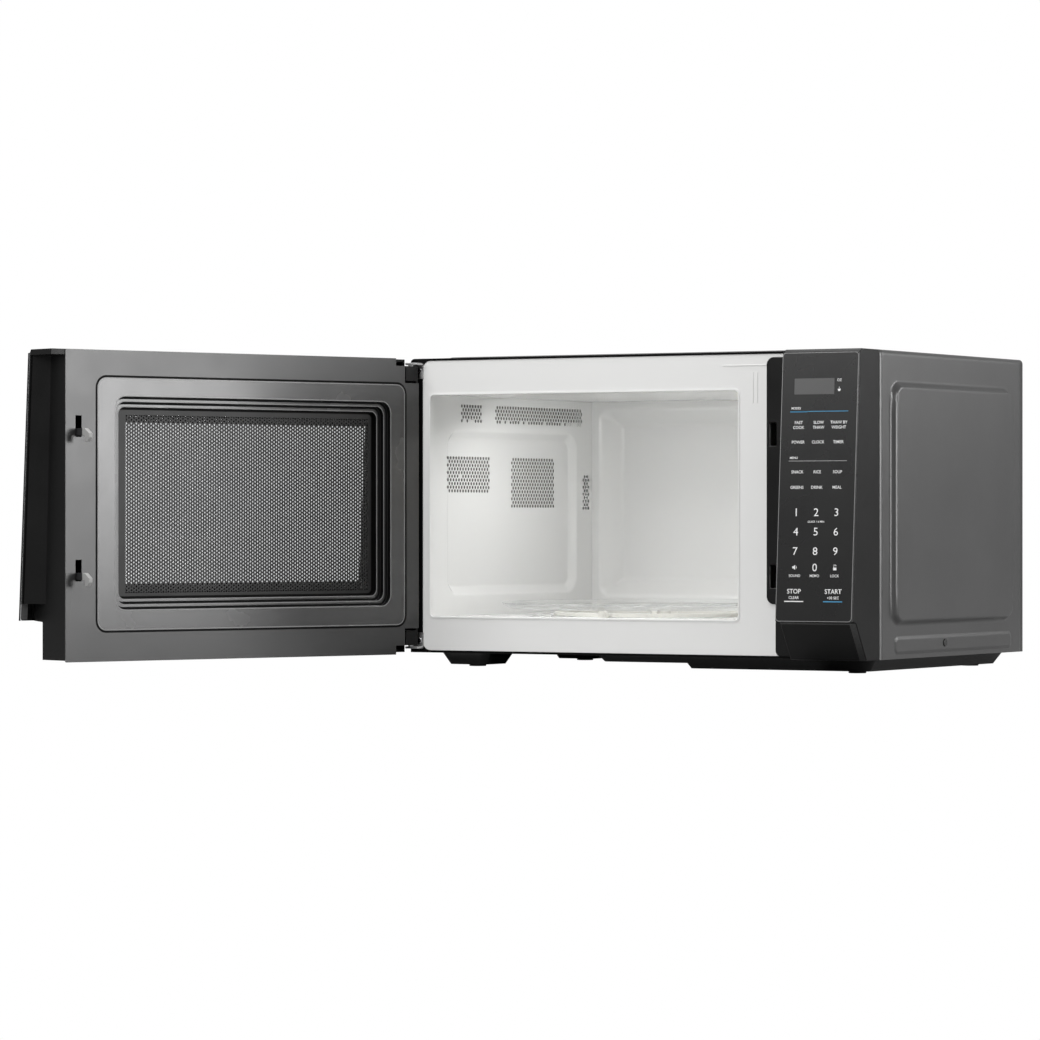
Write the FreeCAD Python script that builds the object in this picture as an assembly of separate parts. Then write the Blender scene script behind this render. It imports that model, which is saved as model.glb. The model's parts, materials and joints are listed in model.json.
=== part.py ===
import FreeCAD, Part
import math
import os

# Countertop microwave oven with a left-hinged door, open at its stop.
# Millimetres. While it is modelled, x runs right from the cabinet's left side, y runs back from
# the front plate and z up from the surface the oven stands on. export() moves the origin to the
# centre of the cabinet's footprint. Door pieces are drawn closed and then turned to their stop.

V = FreeCAD.Vector
X, Y, Z = V(1, 0, 0), V(0, 1, 0), V(0, 0, 1)

# Cabinet
cab_w = 490.0
cab_d = 313.5
cab_bottom = 13.0
cab_top = 290.3
foot_h = 2.0
foot_r = 8.0
sheet = 0.8
fold_r = 4.0
fit_gap = 0.3
slip = 0.1
plate_lift = 2.1

# Cover pressings
side_press_out = 5.0
side_press_front = 22.7
side_press_back_margin = 27.7
side_press_low = 43.6
side_press_top_margin = 28.5
side_press_r = 18.0
side_press_slope = 8.0
top_press_up = 1.8
top_press_margin = 20.0

# Cooking cavity (inside faces) and the component bay beside it
cav_left = 21.0
bay_w = 141.0
cav_floor = 46.8
above_cavity = 34.2
wall_recess_front = 31.5
wall_recess_back = 32.0
wall_recess_low = 19.2
wall_recess_top = 32.1
wall_recess_out = 5.6
wall_recess_r = 22.0
wall_recess_slope = 18.6
rear_recess_side = 7.0
rear_recess_low = 13.8
rear_recess_top = 6.1
rear_recess_out = 18.6
rear_recess_slope = 22.0
rear_recess_r = 34.0

# Front profile shared by the door and the control panel: distance t in front of the plate
front_top_drop = 0.3
face_top_drop = 3.0
face_bottom_z = 47.8
face_top_t = 40.5
face_bottom_t = 55.7
chin_top_t = 46.6
chin_bottom_t = 25.0
front_bottom_z = 13.0
glass_t = 3.0
moulding = 2.5

# Door
door_open_deg = 110.3
door_gap = 2.2
door_overhang = 14.5
pocket_low = 63.0
pocket_top_margin = 5.0
pocket_depth_share = 0.62
pocket_lip = 2.0
door_chin_t = 38.9
pin_x = 5.0
pin_t = 8.0
pin_r = 2.5
pin_clearance = 0.05
boss_half = 9.0
hinge_notch_w = 27.0
hinge_notch_h = 7.0
choke_left = 15.5
choke_latch_margin = 33.0
choke_low = 38.0
choke_top_margin = 23.3
choke_r = 10.5
choke_skin = 1.2
choke_lap = 3.0
groove = 0.7
window_inset_hinge = 18.5
window_inset_latch = 20.8
window_inset_low = 19.7
window_inset_top = 17.9
window_depth = 14.5
window_steps = 3
window_slope = 14.0
screen_t = 0.6
film_t = 0.4
screen_lap = 6.0

# Latch
hook_inset = 14.0
hook_t = 4.0
hook_reach = 19.5
hook_from_top = 74.0
hook_spacing = 128.5
latch_rise = 5.0
slot_w = 7.0
slot_h = 21.0
panel_slot_w = 6.4
panel_slot_below = 4.0
panel_slot_above = 15.0
bar_w = 8.0
bar_d = 6.0
bar_t = 15.0
bar_below = 18.0
bar_above = 16.0
hook_nose_l = 7.0
hook_drop = 8.5
clip_inset = 25.0
spring_l = 20.0
spring_r = 3.4
spring_r_in = 2.4
clip_d = 13.0
clip_t = 11.0

# Control panel
panel_w = 75.5
panel_gap = 1.5
flange_lap = 6.5
flange_t = 1.4

# Turntable
tray_wall_gap = 3.45
tray_t = 3.5
tray_rim_h = 3.0
tray_rim_w = 8.0
lug_h = 4.5
wheel_r = 4.8
wheel_w = 5.0
axle_r = 1.4
wheel_inset = 38.0
wheel_count = 3
track_depth = 3.0
track_side = 6.0
running = 0.05
drive_r = 3.0
drive_hub_r = 9.0
drive_lobe_w = 6.0
drive_lobe_l = 15.0
drive_hole_r = 6.0

# Component bay
fan_r = 44.0
fan_side_gap = 62.0
fan_z = 170.0
fan_blades = 7
fan_house_d = 36.0
fan_tip_gap = 2.0
fan_shaft_r = 2.5
gland_bore_r = 4.0

# Derived places
rear = cab_d
cav_right = cab_w - bay_w
cav_roof = cab_top - above_cavity
cav_w = cav_right - cav_left
cav_d = cab_d - 2 * sheet
bay_left = cav_right + sheet
bay_floor_z = foot_h + sheet
panel_left = cab_w - panel_w
glass_right = panel_left - panel_gap
door_w = glass_right - door_overhang
front_top_z = cab_top - front_top_drop
face_top_z = front_top_z - face_top_drop
choke_w = door_w - choke_left - choke_latch_margin
choke_h = front_top_z - choke_top_margin - choke_low
hook_x = door_w - hook_inset
hook_z = front_top_z - hook_from_top
flange_left = hook_x - flange_lap
table_x = cav_left + cav_w / 2
table_depth = cab_d / 2
tray_r = min(cav_w, cav_d) / 2 - tray_wall_gap
wheel_track_r = tray_r - wheel_inset
fan_x = cab_w - fan_side_gap
fan_front = rear - fan_house_d


def box(x0, x1, y0, y1, z0, z1):
    return Part.makeBox(x1 - x0, y1 - y0, z1 - z0, V(x0, y0, z0))


def rod(r, x, y, z, axis, length):
    return Part.makeCylinder(r, length, V(x, y, z), axis)


def tube(r, r_in, x, y, z, axis, length):
    return rod(r, x, y, z, axis, length).cut(rod(r_in, x, y, z, axis, length))


def joined(shapes):
    shapes = list(shapes)
    first = shapes[0]
    if len(shapes) > 1:
        first = first.multiFuse(shapes[1:])
    return first.removeSplitter()


# Each plane maps (u, v, w), with w along its normal, to x, y, z.
PLANES = {
    "side": lambda u, v, w: V(w, u, v),
    "front": lambda u, v, w: V(u, w, v),
    "level": lambda u, v, w: V(u, v, w),
}


def round_rect(plane, w, u0, u1, v0, v1, r):
    """Closed wire of a rectangle with rounded corners."""
    at = PLANES[plane]
    k = r * (1 - math.sqrt(0.5))
    arcs = [
        ((u0, v0 + r), (u0 + k, v0 + k), (u0 + r, v0)),
        ((u1 - r, v0), (u1 - k, v0 + k), (u1, v0 + r)),
        ((u1, v1 - r), (u1 - k, v1 - k), (u1 - r, v1)),
        ((u0 + r, v1), (u0 + k, v1 - k), (u0, v1 - r)),
    ]
    edges = []
    for arc, following in zip(arcs, arcs[1:] + arcs[:1]):
        start, middle, end = [at(u, v, w) for u, v in arc]
        edges.append(Part.Arc(start, middle, end).toShape())
        edges.append(Part.makeLine(end, at(*following[0], w)))
    return Part.Wire(edges)


def round_slab(plane, w0, w1, u0, u1, v0, v1, r):
    """Plate with rounded corners between two depths along the plane's normal."""
    face = Part.Face(round_rect(plane, w0, u0, u1, v0, v1, r))
    return face.extrude(PLANES[plane](0, 0, w1 - w0))


def frustum(plane, w0, w1, rect, r, slope):
    """Solid whose rounded outline shrinks by slope from depth w0 to depth w1."""
    u0, u1, v0, v1 = rect
    small = (u0 + slope, u1 - slope, v0 + slope, v1 - slope)
    wires = [round_rect(plane, w0, *rect, r), round_rect(plane, w1, *small, max(r - slope / 2, 1.0))]
    return Part.makeLoft(wires, True, True)


def pressed(blank, plane, face, depth, rect, r, slope):
    """Draw a rounded panel out of a sheet; face is the punch side and depth is signed."""
    side = math.copysign(sheet, depth)
    u0, u1, v0, v1 = rect
    grown = (u0 - sheet, u1 + sheet, v0 - sheet, v1 + sheet)
    die = frustum(plane, face, face + depth + side, grown, r + sheet, slope)
    punch = frustum(plane, face, face + depth, rect, r, slope)
    return blank.fuse(die).cut(punch)


def prism(points, x0, x1):
    """Extrude a closed (y, z) outline from x0 to x1."""
    wire = Part.makePolygon([V(x0, y, z) for y, z in points + points[:1]])
    return Part.Face(wire).extrude(V(x1 - x0, 0, 0))


def face_t(z):
    """Distance of the tilted front face from the plate at height z."""
    lean = (face_bottom_t - face_top_t) / (face_top_z - face_bottom_z)
    return face_top_t + (face_top_z - z) * lean


def front_outline(back, skin, chin):
    """(y, z) outline of a front moulding from y = back to the face, skin deep behind the glass.

    chin is how far the part below the glass stands out, at its bottom and at its top.
    """
    return [
        (back, front_bottom_z),
        (-chin[0], front_bottom_z),
        (-chin[1], face_bottom_z - 1.0),
        (-face_t(face_bottom_z) + skin, face_bottom_z),
        (-face_t(face_top_z) + skin, face_top_z),
        (-face_t(face_top_z) + skin + 2.0, front_top_z),
        (back, front_top_z),
    ]


def hollow_outline(back, skin, wall, chin):
    """(y, z) outline of the room inside a front moulding that is open at the back."""
    return [
        (back, front_bottom_z + wall),
        (-chin[0] + wall / 2, front_bottom_z + wall),
        (-chin[1] + wall, face_bottom_z - 1.0 + wall / 2),
        (-face_t(face_bottom_z) + skin + wall, face_bottom_z + wall),
        (-face_t(face_top_z) + skin + wall, front_top_z - wall),
        (back, front_top_z - wall),
    ]


def export(name, shape):
    shape = shape.copy()
    shape.translate(V(-cab_w / 2, -cab_d / 2, 0))
    if len(shape.Solids) == 1:
        shape = shape.Solids[0]
    shape.exportStep("parts/" + name + ".step")


def export_on_door(name, shape):
    shape = shape.copy()
    shape.rotate(V(pin_x, -pin_t, 0), Z, -door_open_deg)
    export(name, shape)


# Cabinet shell

def outer_cover():
    low = cab_bottom - 4 * fold_r
    outside = round_slab("front", 0, rear, 0, cab_w, low, cab_top, fold_r)
    inside = round_slab("front", 0, rear, sheet, cab_w - sheet, low, cab_top - sheet, fold_r - sheet)
    cover = outside.cut(inside).cut(box(-1, cab_w + 1, -1, rear + 1, low - 1, cab_bottom))
    side = (side_press_front, rear - side_press_back_margin, side_press_low, cab_top - side_press_top_margin)
    cover = pressed(cover, "side", sheet, -side_press_out, side, side_press_r, side_press_slope)
    cover = pressed(cover, "side", cab_w - sheet, side_press_out, side, side_press_r, side_press_slope)
    top = (top_press_margin, cab_w - top_press_margin, top_press_margin, rear - top_press_margin)
    cover = pressed(cover, "level", cab_top - sheet, top_press_up, top, side_press_r, side_press_slope)
    return cover.cut(joined(cover_screw_holes()))


SCREW = {"depth": 136.8, "z": 25.7, "hole_r": 1.9, "shank_r": 1.85, "head_r": 3.6, "head_h": 1.8, "l": 5.0}


def cover_screw_holes(l=6):
    """Drills through both side walls, half outside and half inside them."""
    return [rod(SCREW["hole_r"], x - l / 2, SCREW["depth"], SCREW["z"], X, l) for x in (0, cab_w)]


def cover_screws():
    screws = []
    for x, way in ((0, -1), (cab_w, 1)):
        head = rod(SCREW["head_r"], x, SCREW["depth"], SCREW["z"], X * way, SCREW["head_h"])
        shank = rod(SCREW["shank_r"], x, SCREW["depth"], SCREW["z"], X * -way, SCREW["l"])
        screws.append(head.fuse(shank))
    return Part.makeCompound(screws)


# Base pressings as (x0, x1, y0, y1): feet at the left, a shallow pan, and the bay's pan at the right
PAN_R = 9.0
PAN_SLOPE = 8.0
FOOT_SLOPE = 7.0
SHALLOW = {"depth": 6.0, "slope": 6.0}
RAIL = {"h": 18.0, "end": 30.0}
LEFT_FOOT = (27.0, 80.0, 8.0, 62.0)
REAR_FOOT = (27.0, 80.0, rear - 100.0, rear - 46.0)
BAY_PAN = (cab_w - 208.0, cab_w - 12.0, 10.0, rear - 13.5)
SHALLOW_PAN = (BAY_PAN[0] - 87.0, BAY_PAN[0] + 18.0, 8.0, 120.0)
BASE_SLOT = {"w": 3.0, "pitch": 9.0, "count": 9, "y0": 150.0, "y1": 205.0}


def base_plate():
    """Flat bottom with two drawn feet at the left, a shallow pan and the deep bay pan."""
    inner = sheet + fit_gap
    top = cab_bottom + sheet
    plate = box(inner, cab_w - inner, sheet, rear - sheet, cab_bottom, top)
    depth = foot_h - cab_bottom
    for rect in (LEFT_FOOT, REAR_FOOT):
        plate = pressed(plate, "level", top, depth, rect, PAN_R, FOOT_SLOPE)
    plate = pressed(plate, "level", top, -SHALLOW["depth"], SHALLOW_PAN, PAN_R, SHALLOW["slope"])
    plate = pressed(plate, "level", top, depth, BAY_PAN, PAN_R, PAN_SLOPE)
    for x in (inner, cab_w - inner - sheet):
        rail = box(x, x + sheet, RAIL["end"], rear - RAIL["end"], cab_bottom, cab_bottom + RAIL["h"])
        plate = plate.fuse(rail)
    slots = []
    for i in range(BASE_SLOT["count"]):
        x = SHALLOW_PAN[0] + i * BASE_SLOT["pitch"]
        slots.append(box(x, x + BASE_SLOT["w"], BASE_SLOT["y0"], BASE_SLOT["y1"], cab_bottom - 1, top + 1))
    return plate.cut(Part.makeCompound(slots + cover_screw_holes(10))).removeSplitter()


def foot_places():
    left = (LEFT_FOOT[0] + LEFT_FOOT[1]) / 2
    right = BAY_PAN[1] - 26
    front = BAY_PAN[2] + 24
    return [(left, front), (left, (REAR_FOOT[2] + REAR_FOOT[3]) / 2), (right, front), (right, BAY_PAN[3] - 23)]


def feet():
    return Part.makeCompound([rod(foot_r, x, y, 0, Z, foot_h) for x, y in foot_places()])


def front_plate():
    side = sheet + slip
    low, high = cab_bottom + plate_lift, cab_top - sheet - 4 * slip
    plate = round_slab("front", 0, sheet, side, cab_w - side, low, high, fold_r - 1)
    plate = plate.cut(box(cav_left, cav_right, -1, 2, cav_floor, cav_roof))
    for z in hook_heights():
        plate = plate.cut(latch_slot(z, -1, 2))
    return plate


def hook_heights():
    return [hook_z, hook_z - hook_spacing]


def latch_slot(z, y0, y1):
    """Room for a hook at height z, tall enough for it to rise over the catch."""
    top = z + hook_t + latch_rise + 1.0
    return box(hook_x - slot_w / 2, hook_x + slot_w / 2, y0, y1, top - slot_h, top)


def cavity_left_wall():
    wall = box(cav_left - sheet, cav_left, sheet, rear - sheet, cav_floor - sheet, cav_roof + sheet)
    front, back = wall_recess_front, rear - wall_recess_back
    recess = (front, back, cav_floor + wall_recess_low, cav_roof - wall_recess_top)
    return pressed(wall, "side", cav_left, -wall_recess_out, recess, wall_recess_r, wall_recess_slope)


# Magnetron, the duct from it to the cavity's port (y0 to y1) and the lamp over the duct
MAGNETRON = {"y": 222.0, "z": cav_roof - 74.1, "w": 58.0, "half_d": 34.0, "half_h": 32.0, "wall": 2.0,
             "anode_r": 18.0, "antenna_r": 7.5}
GUIDE = {"y0": 92.0, "y1": 172.0, "z0": MAGNETRON["z"] - 30, "z1": MAGNETRON["z"] + 30, "out": 38.0,
         "end": MAGNETRON["y"] + 36, "wall": 1.0, "port_r": 14.0}
LAMP = {"y": 226.0, "z": cav_roof - 18.1, "half_d": 18.0, "half_h": 12.0, "out": 30.0, "wall": 3.0,
        "r": 7.0, "l": 14.0, "cap_r": 4.5}


def cavity_right_wall():
    wall = box(cav_right, bay_left, sheet, rear - sheet, cav_floor - sheet, cav_roof + sheet)
    port = box(cav_right - 1, bay_left + 1, GUIDE["y0"], GUIDE["y1"], GUIDE["z0"], GUIDE["z1"])
    for i in range(4):
        for j in range(3):
            y, z = LAMP["y"] - 12 + 6 * i, LAMP["z"] - 6 + 6 * j
            wall = wall.cut(rod(1.5, cav_right - 1, y, z, X, 3))
    return wall.cut(port)


def cavity_roof():
    return box(cav_left, cav_right, sheet, rear - sheet, cav_roof, cav_roof + sheet)


def ring_at(r_in, r_out, z0, z1):
    return tube(r_out, r_in, table_x, table_depth, z0, Z, z1 - z0)


TRACK_IN = wheel_track_r - wheel_w / 2 - track_side
TRACK_OUT = wheel_track_r + wheel_w / 2 + track_side


def cavity_floor():
    floor = box(cav_left, cav_right, sheet, rear - sheet, cav_floor - sheet, cav_floor)
    low = cav_floor - track_depth
    floor = floor.fuse(ring_at(TRACK_IN - sheet, TRACK_OUT + sheet, low - sheet, cav_floor))
    floor = floor.cut(ring_at(TRACK_IN, TRACK_OUT, low, cav_floor + 1))
    return floor.cut(rod(drive_hole_r, table_x, table_depth, cav_floor - 5, Z, 10))


GLAND = {"x": cab_w - 32.0, "z": 62.0, "neck_r": 8.0, "flange_r": 10.5, "flange_t": 3.0, "inside": 7.0,
         "outside": 6.0}
REAR_SLOT = {"l": 40.0, "h": 4.0, "x_pitch": 48.0, "z_pitch": 10.0, "columns": 2, "rows": 9, "low": -42.0}


def rear_plate():
    inner = sheet + slip
    low, high = cab_bottom + sheet, cab_top - sheet - 4 * slip
    plate = round_slab("front", rear - sheet, rear, inner, cab_w - inner, low, high, fold_r)
    left, right = cav_left + rear_recess_side, cav_right - rear_recess_side
    recess = (left, right, cav_floor + rear_recess_low, cav_roof - rear_recess_top)
    plate = pressed(plate, "front", rear - sheet, rear_recess_out, recess, rear_recess_r, rear_recess_slope)
    across = (REAR_SLOT["columns"] - 1) * REAR_SLOT["x_pitch"] + REAR_SLOT["l"]
    slots = []
    for column in range(REAR_SLOT["columns"]):
        for row in range(REAR_SLOT["rows"]):
            x0 = fan_x - across / 2 + column * REAR_SLOT["x_pitch"]
            z0 = fan_z + REAR_SLOT["low"] + row * REAR_SLOT["z_pitch"]
            x1, z1 = x0 + REAR_SLOT["l"], z0 + REAR_SLOT["h"]
            slots.append(round_slab("front", rear - 2, rear + 1, x0, x1, z0, z1, REAR_SLOT["h"] / 2 - slip))
    gland = rod(GLAND["neck_r"] + running, GLAND["x"], rear - 2, GLAND["z"], Y, 4)
    return plate.cut(Part.makeCompound(slots + [gland]))


def cord_gland():
    """Bush in the rear plate: flanges on both faces of the sheet and a through bore."""
    x, z = GLAND["x"], GLAND["z"]
    neck = rod(GLAND["neck_r"], x, rear - GLAND["inside"], z, Y, GLAND["inside"] + GLAND["outside"])
    flange = GLAND["flange_t"]
    outer = rod(GLAND["flange_r"], x, rear, z, Y, flange)
    inner = rod(GLAND["flange_r"], x, rear - sheet - flange, z, Y, flange)
    bore = rod(gland_bore_r, x, rear - 20, z, Y, 40)
    return joined([neck, outer, inner]).cut(bore)


# Hinges

HINGE = {"x0": 1.5, "x1": 14.5, "foot_t": 1.2, "foot_h": 13.0, "arm_t": 2.0, "arm_past_pin": 4.5,
         "pin_l": 14.0, "notch_gap": 1.2, "screw_x": 10.5, "hole_r": 1.6, "shank_r": 1.55, "head_r": 2.4}


def arm_bottom(top):
    """Height of the underside of a hinge's arm, inside the door's notch."""
    if top:
        return front_top_z - hinge_notch_h + HINGE["notch_gap"]
    return front_bottom_z + hinge_notch_h - HINGE["notch_gap"] - HINGE["arm_t"]


def hinge_foot(top):
    """Lowest and highest z of a hinge's foot on the front plate."""
    low = arm_bottom(top)
    if top:
        return low - HINGE["foot_h"], low + HINGE["arm_t"]
    return low, low + HINGE["arm_t"] + HINGE["foot_h"]


def hinge_bracket(top):
    """Foot on the front plate and an arm that holds the door's pin."""
    h = HINGE
    arm_z, foot_z = arm_bottom(top), hinge_foot(top)
    foot = box(h["x0"], h["x1"], -h["foot_t"], 0, *foot_z)
    arm = box(h["x0"], h["x1"], -pin_t - h["arm_past_pin"], 0, arm_z, arm_z + h["arm_t"])
    pin_low = arm_z - h["pin_l"] if top else arm_z + h["arm_t"]
    pin = rod(pin_r, pin_x, -pin_t, pin_low, Z, h["pin_l"])
    return joined([foot, arm, pin]).cut(rod(h["hole_r"], h["screw_x"], -2, sum(foot_z) / 2, Y, 5))


def hinge_screws():
    h = HINGE
    screws = []
    for top in (True, False):
        z = sum(hinge_foot(top)) / 2
        head = rod(h["head_r"], h["screw_x"], -h["foot_t"] - 0.7, z, Y, 0.7)
        screws.append(head.fuse(rod(h["shank_r"], h["screw_x"], -h["foot_t"], z, Y, h["foot_t"])))
    return Part.makeCompound(screws)


# Door, drawn closed

FAR = 70.0


def pocket_outline(z):
    """Section of the room for fingers behind the glass's free edge, at height z."""
    crease = pocket_depth_share * face_t(z)
    lip = face_t(z) - glass_t - pocket_lip
    far = glass_right + 9
    points = [(door_w, 5), (door_w, -crease), (glass_right - pocket_lip, -lip), (far, -lip), (far, 5)]
    return Part.makePolygon([V(x, y, z) for x, y in points + points[:1]])


def door_frame():
    back = -door_gap - sheet
    chin = (door_chin_t, door_chin_t)
    frame = prism(front_outline(back, glass_t, chin), 0, glass_right)
    ends = [pocket_outline(pocket_low), pocket_outline(front_top_z - pocket_top_margin)]
    frame = frame.cut(Part.makeLoft(ends, True, True))
    frame = frame.cut(box(door_w, glass_right + 1, -FAR, 5, 0, pocket_low))
    room = prism(hollow_outline(5, glass_t, moulding, chin), moulding, door_w - moulding)
    x0, x1, z0, z1 = window_rect(0)
    window = round_slab("front", -FAR, 0, x0, x1, z0, z1, choke_r)
    frame = frame.cut(room).cut(window)
    for top in (True, False):
        frame = frame.fuse(hinge_boss(top)).cut(hinge_room(top))
    return frame.cut(pin_holes()).removeSplitter()


def hinge_boss(top):
    z0, z1 = front_bottom_z + moulding, front_bottom_z + hinge_notch_h + HINGE["pin_l"]
    if top:
        z0, z1 = front_top_z - hinge_notch_h - HINGE["pin_l"], front_top_z - moulding
    back = -door_gap - sheet
    return box(moulding - 1, pin_x + boss_half, -pin_t - boss_half, back, z0, z1)


def hinge_room(top):
    z0, z1 = (front_top_z - hinge_notch_h, front_top_z + 1) if top else (0, front_bottom_z + hinge_notch_h)
    notch = box(-1, hinge_notch_w, -pin_t - 16, 5, z0, z1)
    reach = hinge_notch_h + HINGE["foot_h"] + 3
    foot_z = (front_top_z - reach, z1) if top else (z0, front_bottom_z + reach)
    return notch.fuse(box(-1, HINGE["x1"] + 2, -HINGE["foot_t"] - 2.4, 5, *foot_z))


def pin_holes():
    return rod(pin_r + pin_clearance, pin_x, -pin_t, 0, Z, cab_top + 1)


def window_rect(step):
    """x0, x1, z0, z1 of the window recess after a number of steps."""
    inset = window_slope * step / window_steps
    return (
        choke_left + window_inset_hinge + inset,
        choke_left + choke_w - window_inset_latch - inset,
        choke_low + window_inset_low + inset,
        choke_low + choke_h - window_inset_top - inset,
    )


def door_inner_panel():
    near, low = -door_gap, front_bottom_z - 1.5
    panel = round_slab("front", near - sheet, near, 0, door_w, low, front_top_z, 1.5)
    hole = (choke_left, choke_left + choke_w, choke_low, choke_low + choke_h)
    panel = panel.cut(round_slab("front", -10, 0, *hole, choke_r))
    for z in hook_heights():
        low, high = z - panel_slot_below, z + panel_slot_above
        panel = panel.cut(box(hook_x - panel_slot_w / 2, hook_x + panel_slot_w / 2, -10, 0, low, high))
    for top in (True, False):
        panel = panel.cut(hinge_room(top))
    return panel


def door_choke_cover():
    """Plastic ring snapped in from inside, stepping down to the screen."""
    near = -door_gap
    u0, u1 = choke_left, choke_left + choke_w
    v0, v1 = choke_low, choke_low + choke_h
    skin = choke_skin
    raised = (u0 + groove, u1 - groove, v0 + groove, v1 - groove)
    cover = round_slab("front", near - sheet, near, *raised, choke_r)
    lap = choke_lap
    wide = (u0 - lap, u1 + lap, v0 - lap, v1 + lap)
    rim = round_slab("front", near - sheet - skin, near - sheet, *wide, choke_r + lap)
    solids, rooms = [rim], []
    for step in range(window_steps):
        a0, a1, b0, b1 = window_rect(step)
        deep = near - window_depth * (step + 1) / window_steps
        wall = deep if step == window_steps - 1 else deep - skin
        r = choke_r - 2 * step
        rooms.append(round_slab("front", deep, 1, a0, a1, b0, b1, r))
        solids.append(round_slab("front", wall, near, a0 - skin, a1 + skin, b0 - skin, b1 + skin, r + skin))
    return joined([cover] + solids).cut(joined(rooms))


def window_sheet(step, back, t, r):
    """Sheet behind the window, of the recess's size after step steps and a lap all round."""
    a0, a1, b0, b1 = window_rect(step)
    lap = screen_lap
    return round_slab("front", back - t, back, a0 - lap, a1 + lap, b0 - lap, b1 + lap, r)


def door_screen():
    return window_sheet(window_steps - 1, -door_gap - window_depth, screen_t, choke_r - 2.5)


def door_film():
    return window_sheet(window_steps, -door_gap - window_depth - screen_t, film_t, choke_r - 4.5)


def face_glass(x0, x1):
    """Flat pane that lies on the tilted front face."""
    low, high = -face_t(face_bottom_z), -face_t(face_top_z)
    front = [(low, face_bottom_z), (high, face_top_z)]
    back = [(high + glass_t, face_top_z), (low + glass_t, face_bottom_z)]
    return prism(front + back, x0, x1)


def latch_lever():
    """Bar inside the door with two hooks that pass through the inner panel."""
    high, low = hook_heights()
    half = bar_w / 2
    pieces = [box(hook_x - half, hook_x + half, -bar_t - bar_d, -bar_t, low - bar_below, high + bar_above)]
    tip = hook_reach - door_gap
    root, nose = -bar_t - 3, tip - hook_nose_l
    for z in hook_heights():
        upper = [(root, z - 3), (root, z + 3.5), (nose, z + 3.5), (tip, z - 1)]
        lower = [(tip, z - 5), (tip - 3, z - hook_drop), (nose, z - hook_drop), (nose, z - 3)]
        pieces.append(prism(upper + lower, hook_x - hook_t / 2, hook_x + hook_t / 2))
    return joined(pieces)


def latch_guides():
    """Two clips on the door frame that the latch bar slides in."""
    high, low = hook_heights()
    clips = []
    half = bar_w / 2 + fit_gap
    near, far = -bar_t + fit_gap, -bar_t - bar_d - fit_gap
    for z in (high - clip_inset, low + clip_inset):
        block = box(hook_x - bar_w, door_w - moulding, -clip_t - clip_d, -clip_t, z - 5, z + 5)
        clips.append(block.cut(box(hook_x - half, hook_x + half, far, near, z - 6, z + 6)))
    return Part.makeCompound(clips)


def bar_bottom():
    return hook_heights()[1] - bar_below


def latch_spring():
    middle = -bar_t - bar_d / 2
    return tube(spring_r, spring_r_in, hook_x, middle, bar_bottom() - spring_l, Z, spring_l)


def spring_seat():
    top = bar_bottom() - spring_l
    return box(hook_x - 6, door_w - moulding, -clip_t - clip_d, -clip_t - 1, top - 3, top)


# Control panel

DISPLAY = {"x0": cab_w - 60.0, "x1": cab_w - 24.0, "z0": face_top_z - 44.0, "z1": face_top_z - 29.0,
           "d": 8.0, "back": 9.0}
BOARD = {"left": 10.0, "right": 16.0, "below": 151.0, "above": 20.0, "t": 1.6}


def control_panel_housing():
    chin = (chin_bottom_t, chin_top_t)
    housing = prism(front_outline(0, glass_t, chin), panel_left, cab_w)
    room = prism(hollow_outline(5, glass_t, moulding, chin), panel_left + moulding, cab_w - moulding)
    housing = housing.cut(room)
    right = panel_left + 9
    top, step, low = front_top_z - 5, 62.0, cab_bottom + plate_lift
    upper = round_slab("front", -flange_t, 0, flange_left, right, step, top, 7)
    lower = round_slab("front", -flange_t, 0, flange_left + 9, right, low, step + 14, 5)
    flange = upper.fuse(lower).cut(room)
    for z in hook_heights():
        flange = flange.cut(latch_slot(z, -5, 5))
    d = DISPLAY
    display = box(d["x0"], d["x1"], -FAR, -20, d["z0"], d["z1"])
    return housing.fuse(flange).cut(display).removeSplitter()


def display_back():
    return -face_t(DISPLAY["z1"]) + glass_t + DISPLAY["back"]


def display_module():
    d = DISPLAY
    x0, x1 = d["x0"] + fit_gap, d["x1"] - fit_gap
    y1 = display_back()
    return box(x0, x1, y1 - d["d"], y1, d["z0"] + fit_gap, d["z1"] - fit_gap)


def control_board():
    """Board behind the display with its relay, small transformer, sounder and three side tabs."""
    y0 = display_back()
    y1 = y0 + BOARD["t"]
    x0, x1 = DISPLAY["x0"] - BOARD["left"], DISPLAY["x1"] + BOARD["right"]
    z0, z1 = DISPLAY["z0"] - BOARD["below"], DISPLAY["z1"] + BOARD["above"]
    board = box(x0, x1, y0, y1, z0, z1)
    relay = box(x0 + 10, x0 + 26, y1, y1 + 15.4, z0 + 28, z0 + 54)
    transformer = box(x0 + 32, x0 + 56, y1, y1 + 17.4, z0 + 18, z0 + 44)
    sounder = rod(6, x0 + 20, y1, z0 + 88, Y, 8)
    feet = [rod(3.0, x, y0 - 8.0, z0 + 18, Y, 8.0) for x in (x0 + 5, x1 - 5)]
    tabs = [box(panel_left + moulding, x0, y0, y1, z0 + up, z0 + up + 10) for up in (8, 68, 128)]
    return joined([board, relay, transformer, sounder] + feet + tabs)


# Turntable

def table_heights():
    track = cav_floor - track_depth
    wheel_z = track + 2 * running + wheel_r
    tray_z = wheel_z + wheel_r + 2 * running
    return track, wheel_z, tray_z


MOTOR = {"r": 24.5, "h": 15.0, "ear": 33.0, "ear_half_w": 5.0}


def turntable_motor():
    top = cav_floor - sheet
    body = rod(MOTOR["r"], table_x, table_depth, top - MOTOR["h"], Z, MOTOR["h"])
    ear, half = MOTOR["ear"], MOTOR["ear_half_w"]
    ears = box(table_x - ear, table_x + ear, table_depth - half, table_depth + half, top - 2, top)
    return joined([body, ears]).cut(rod(drive_r + running, table_x, table_depth, top - 12, Z, 20))


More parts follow.
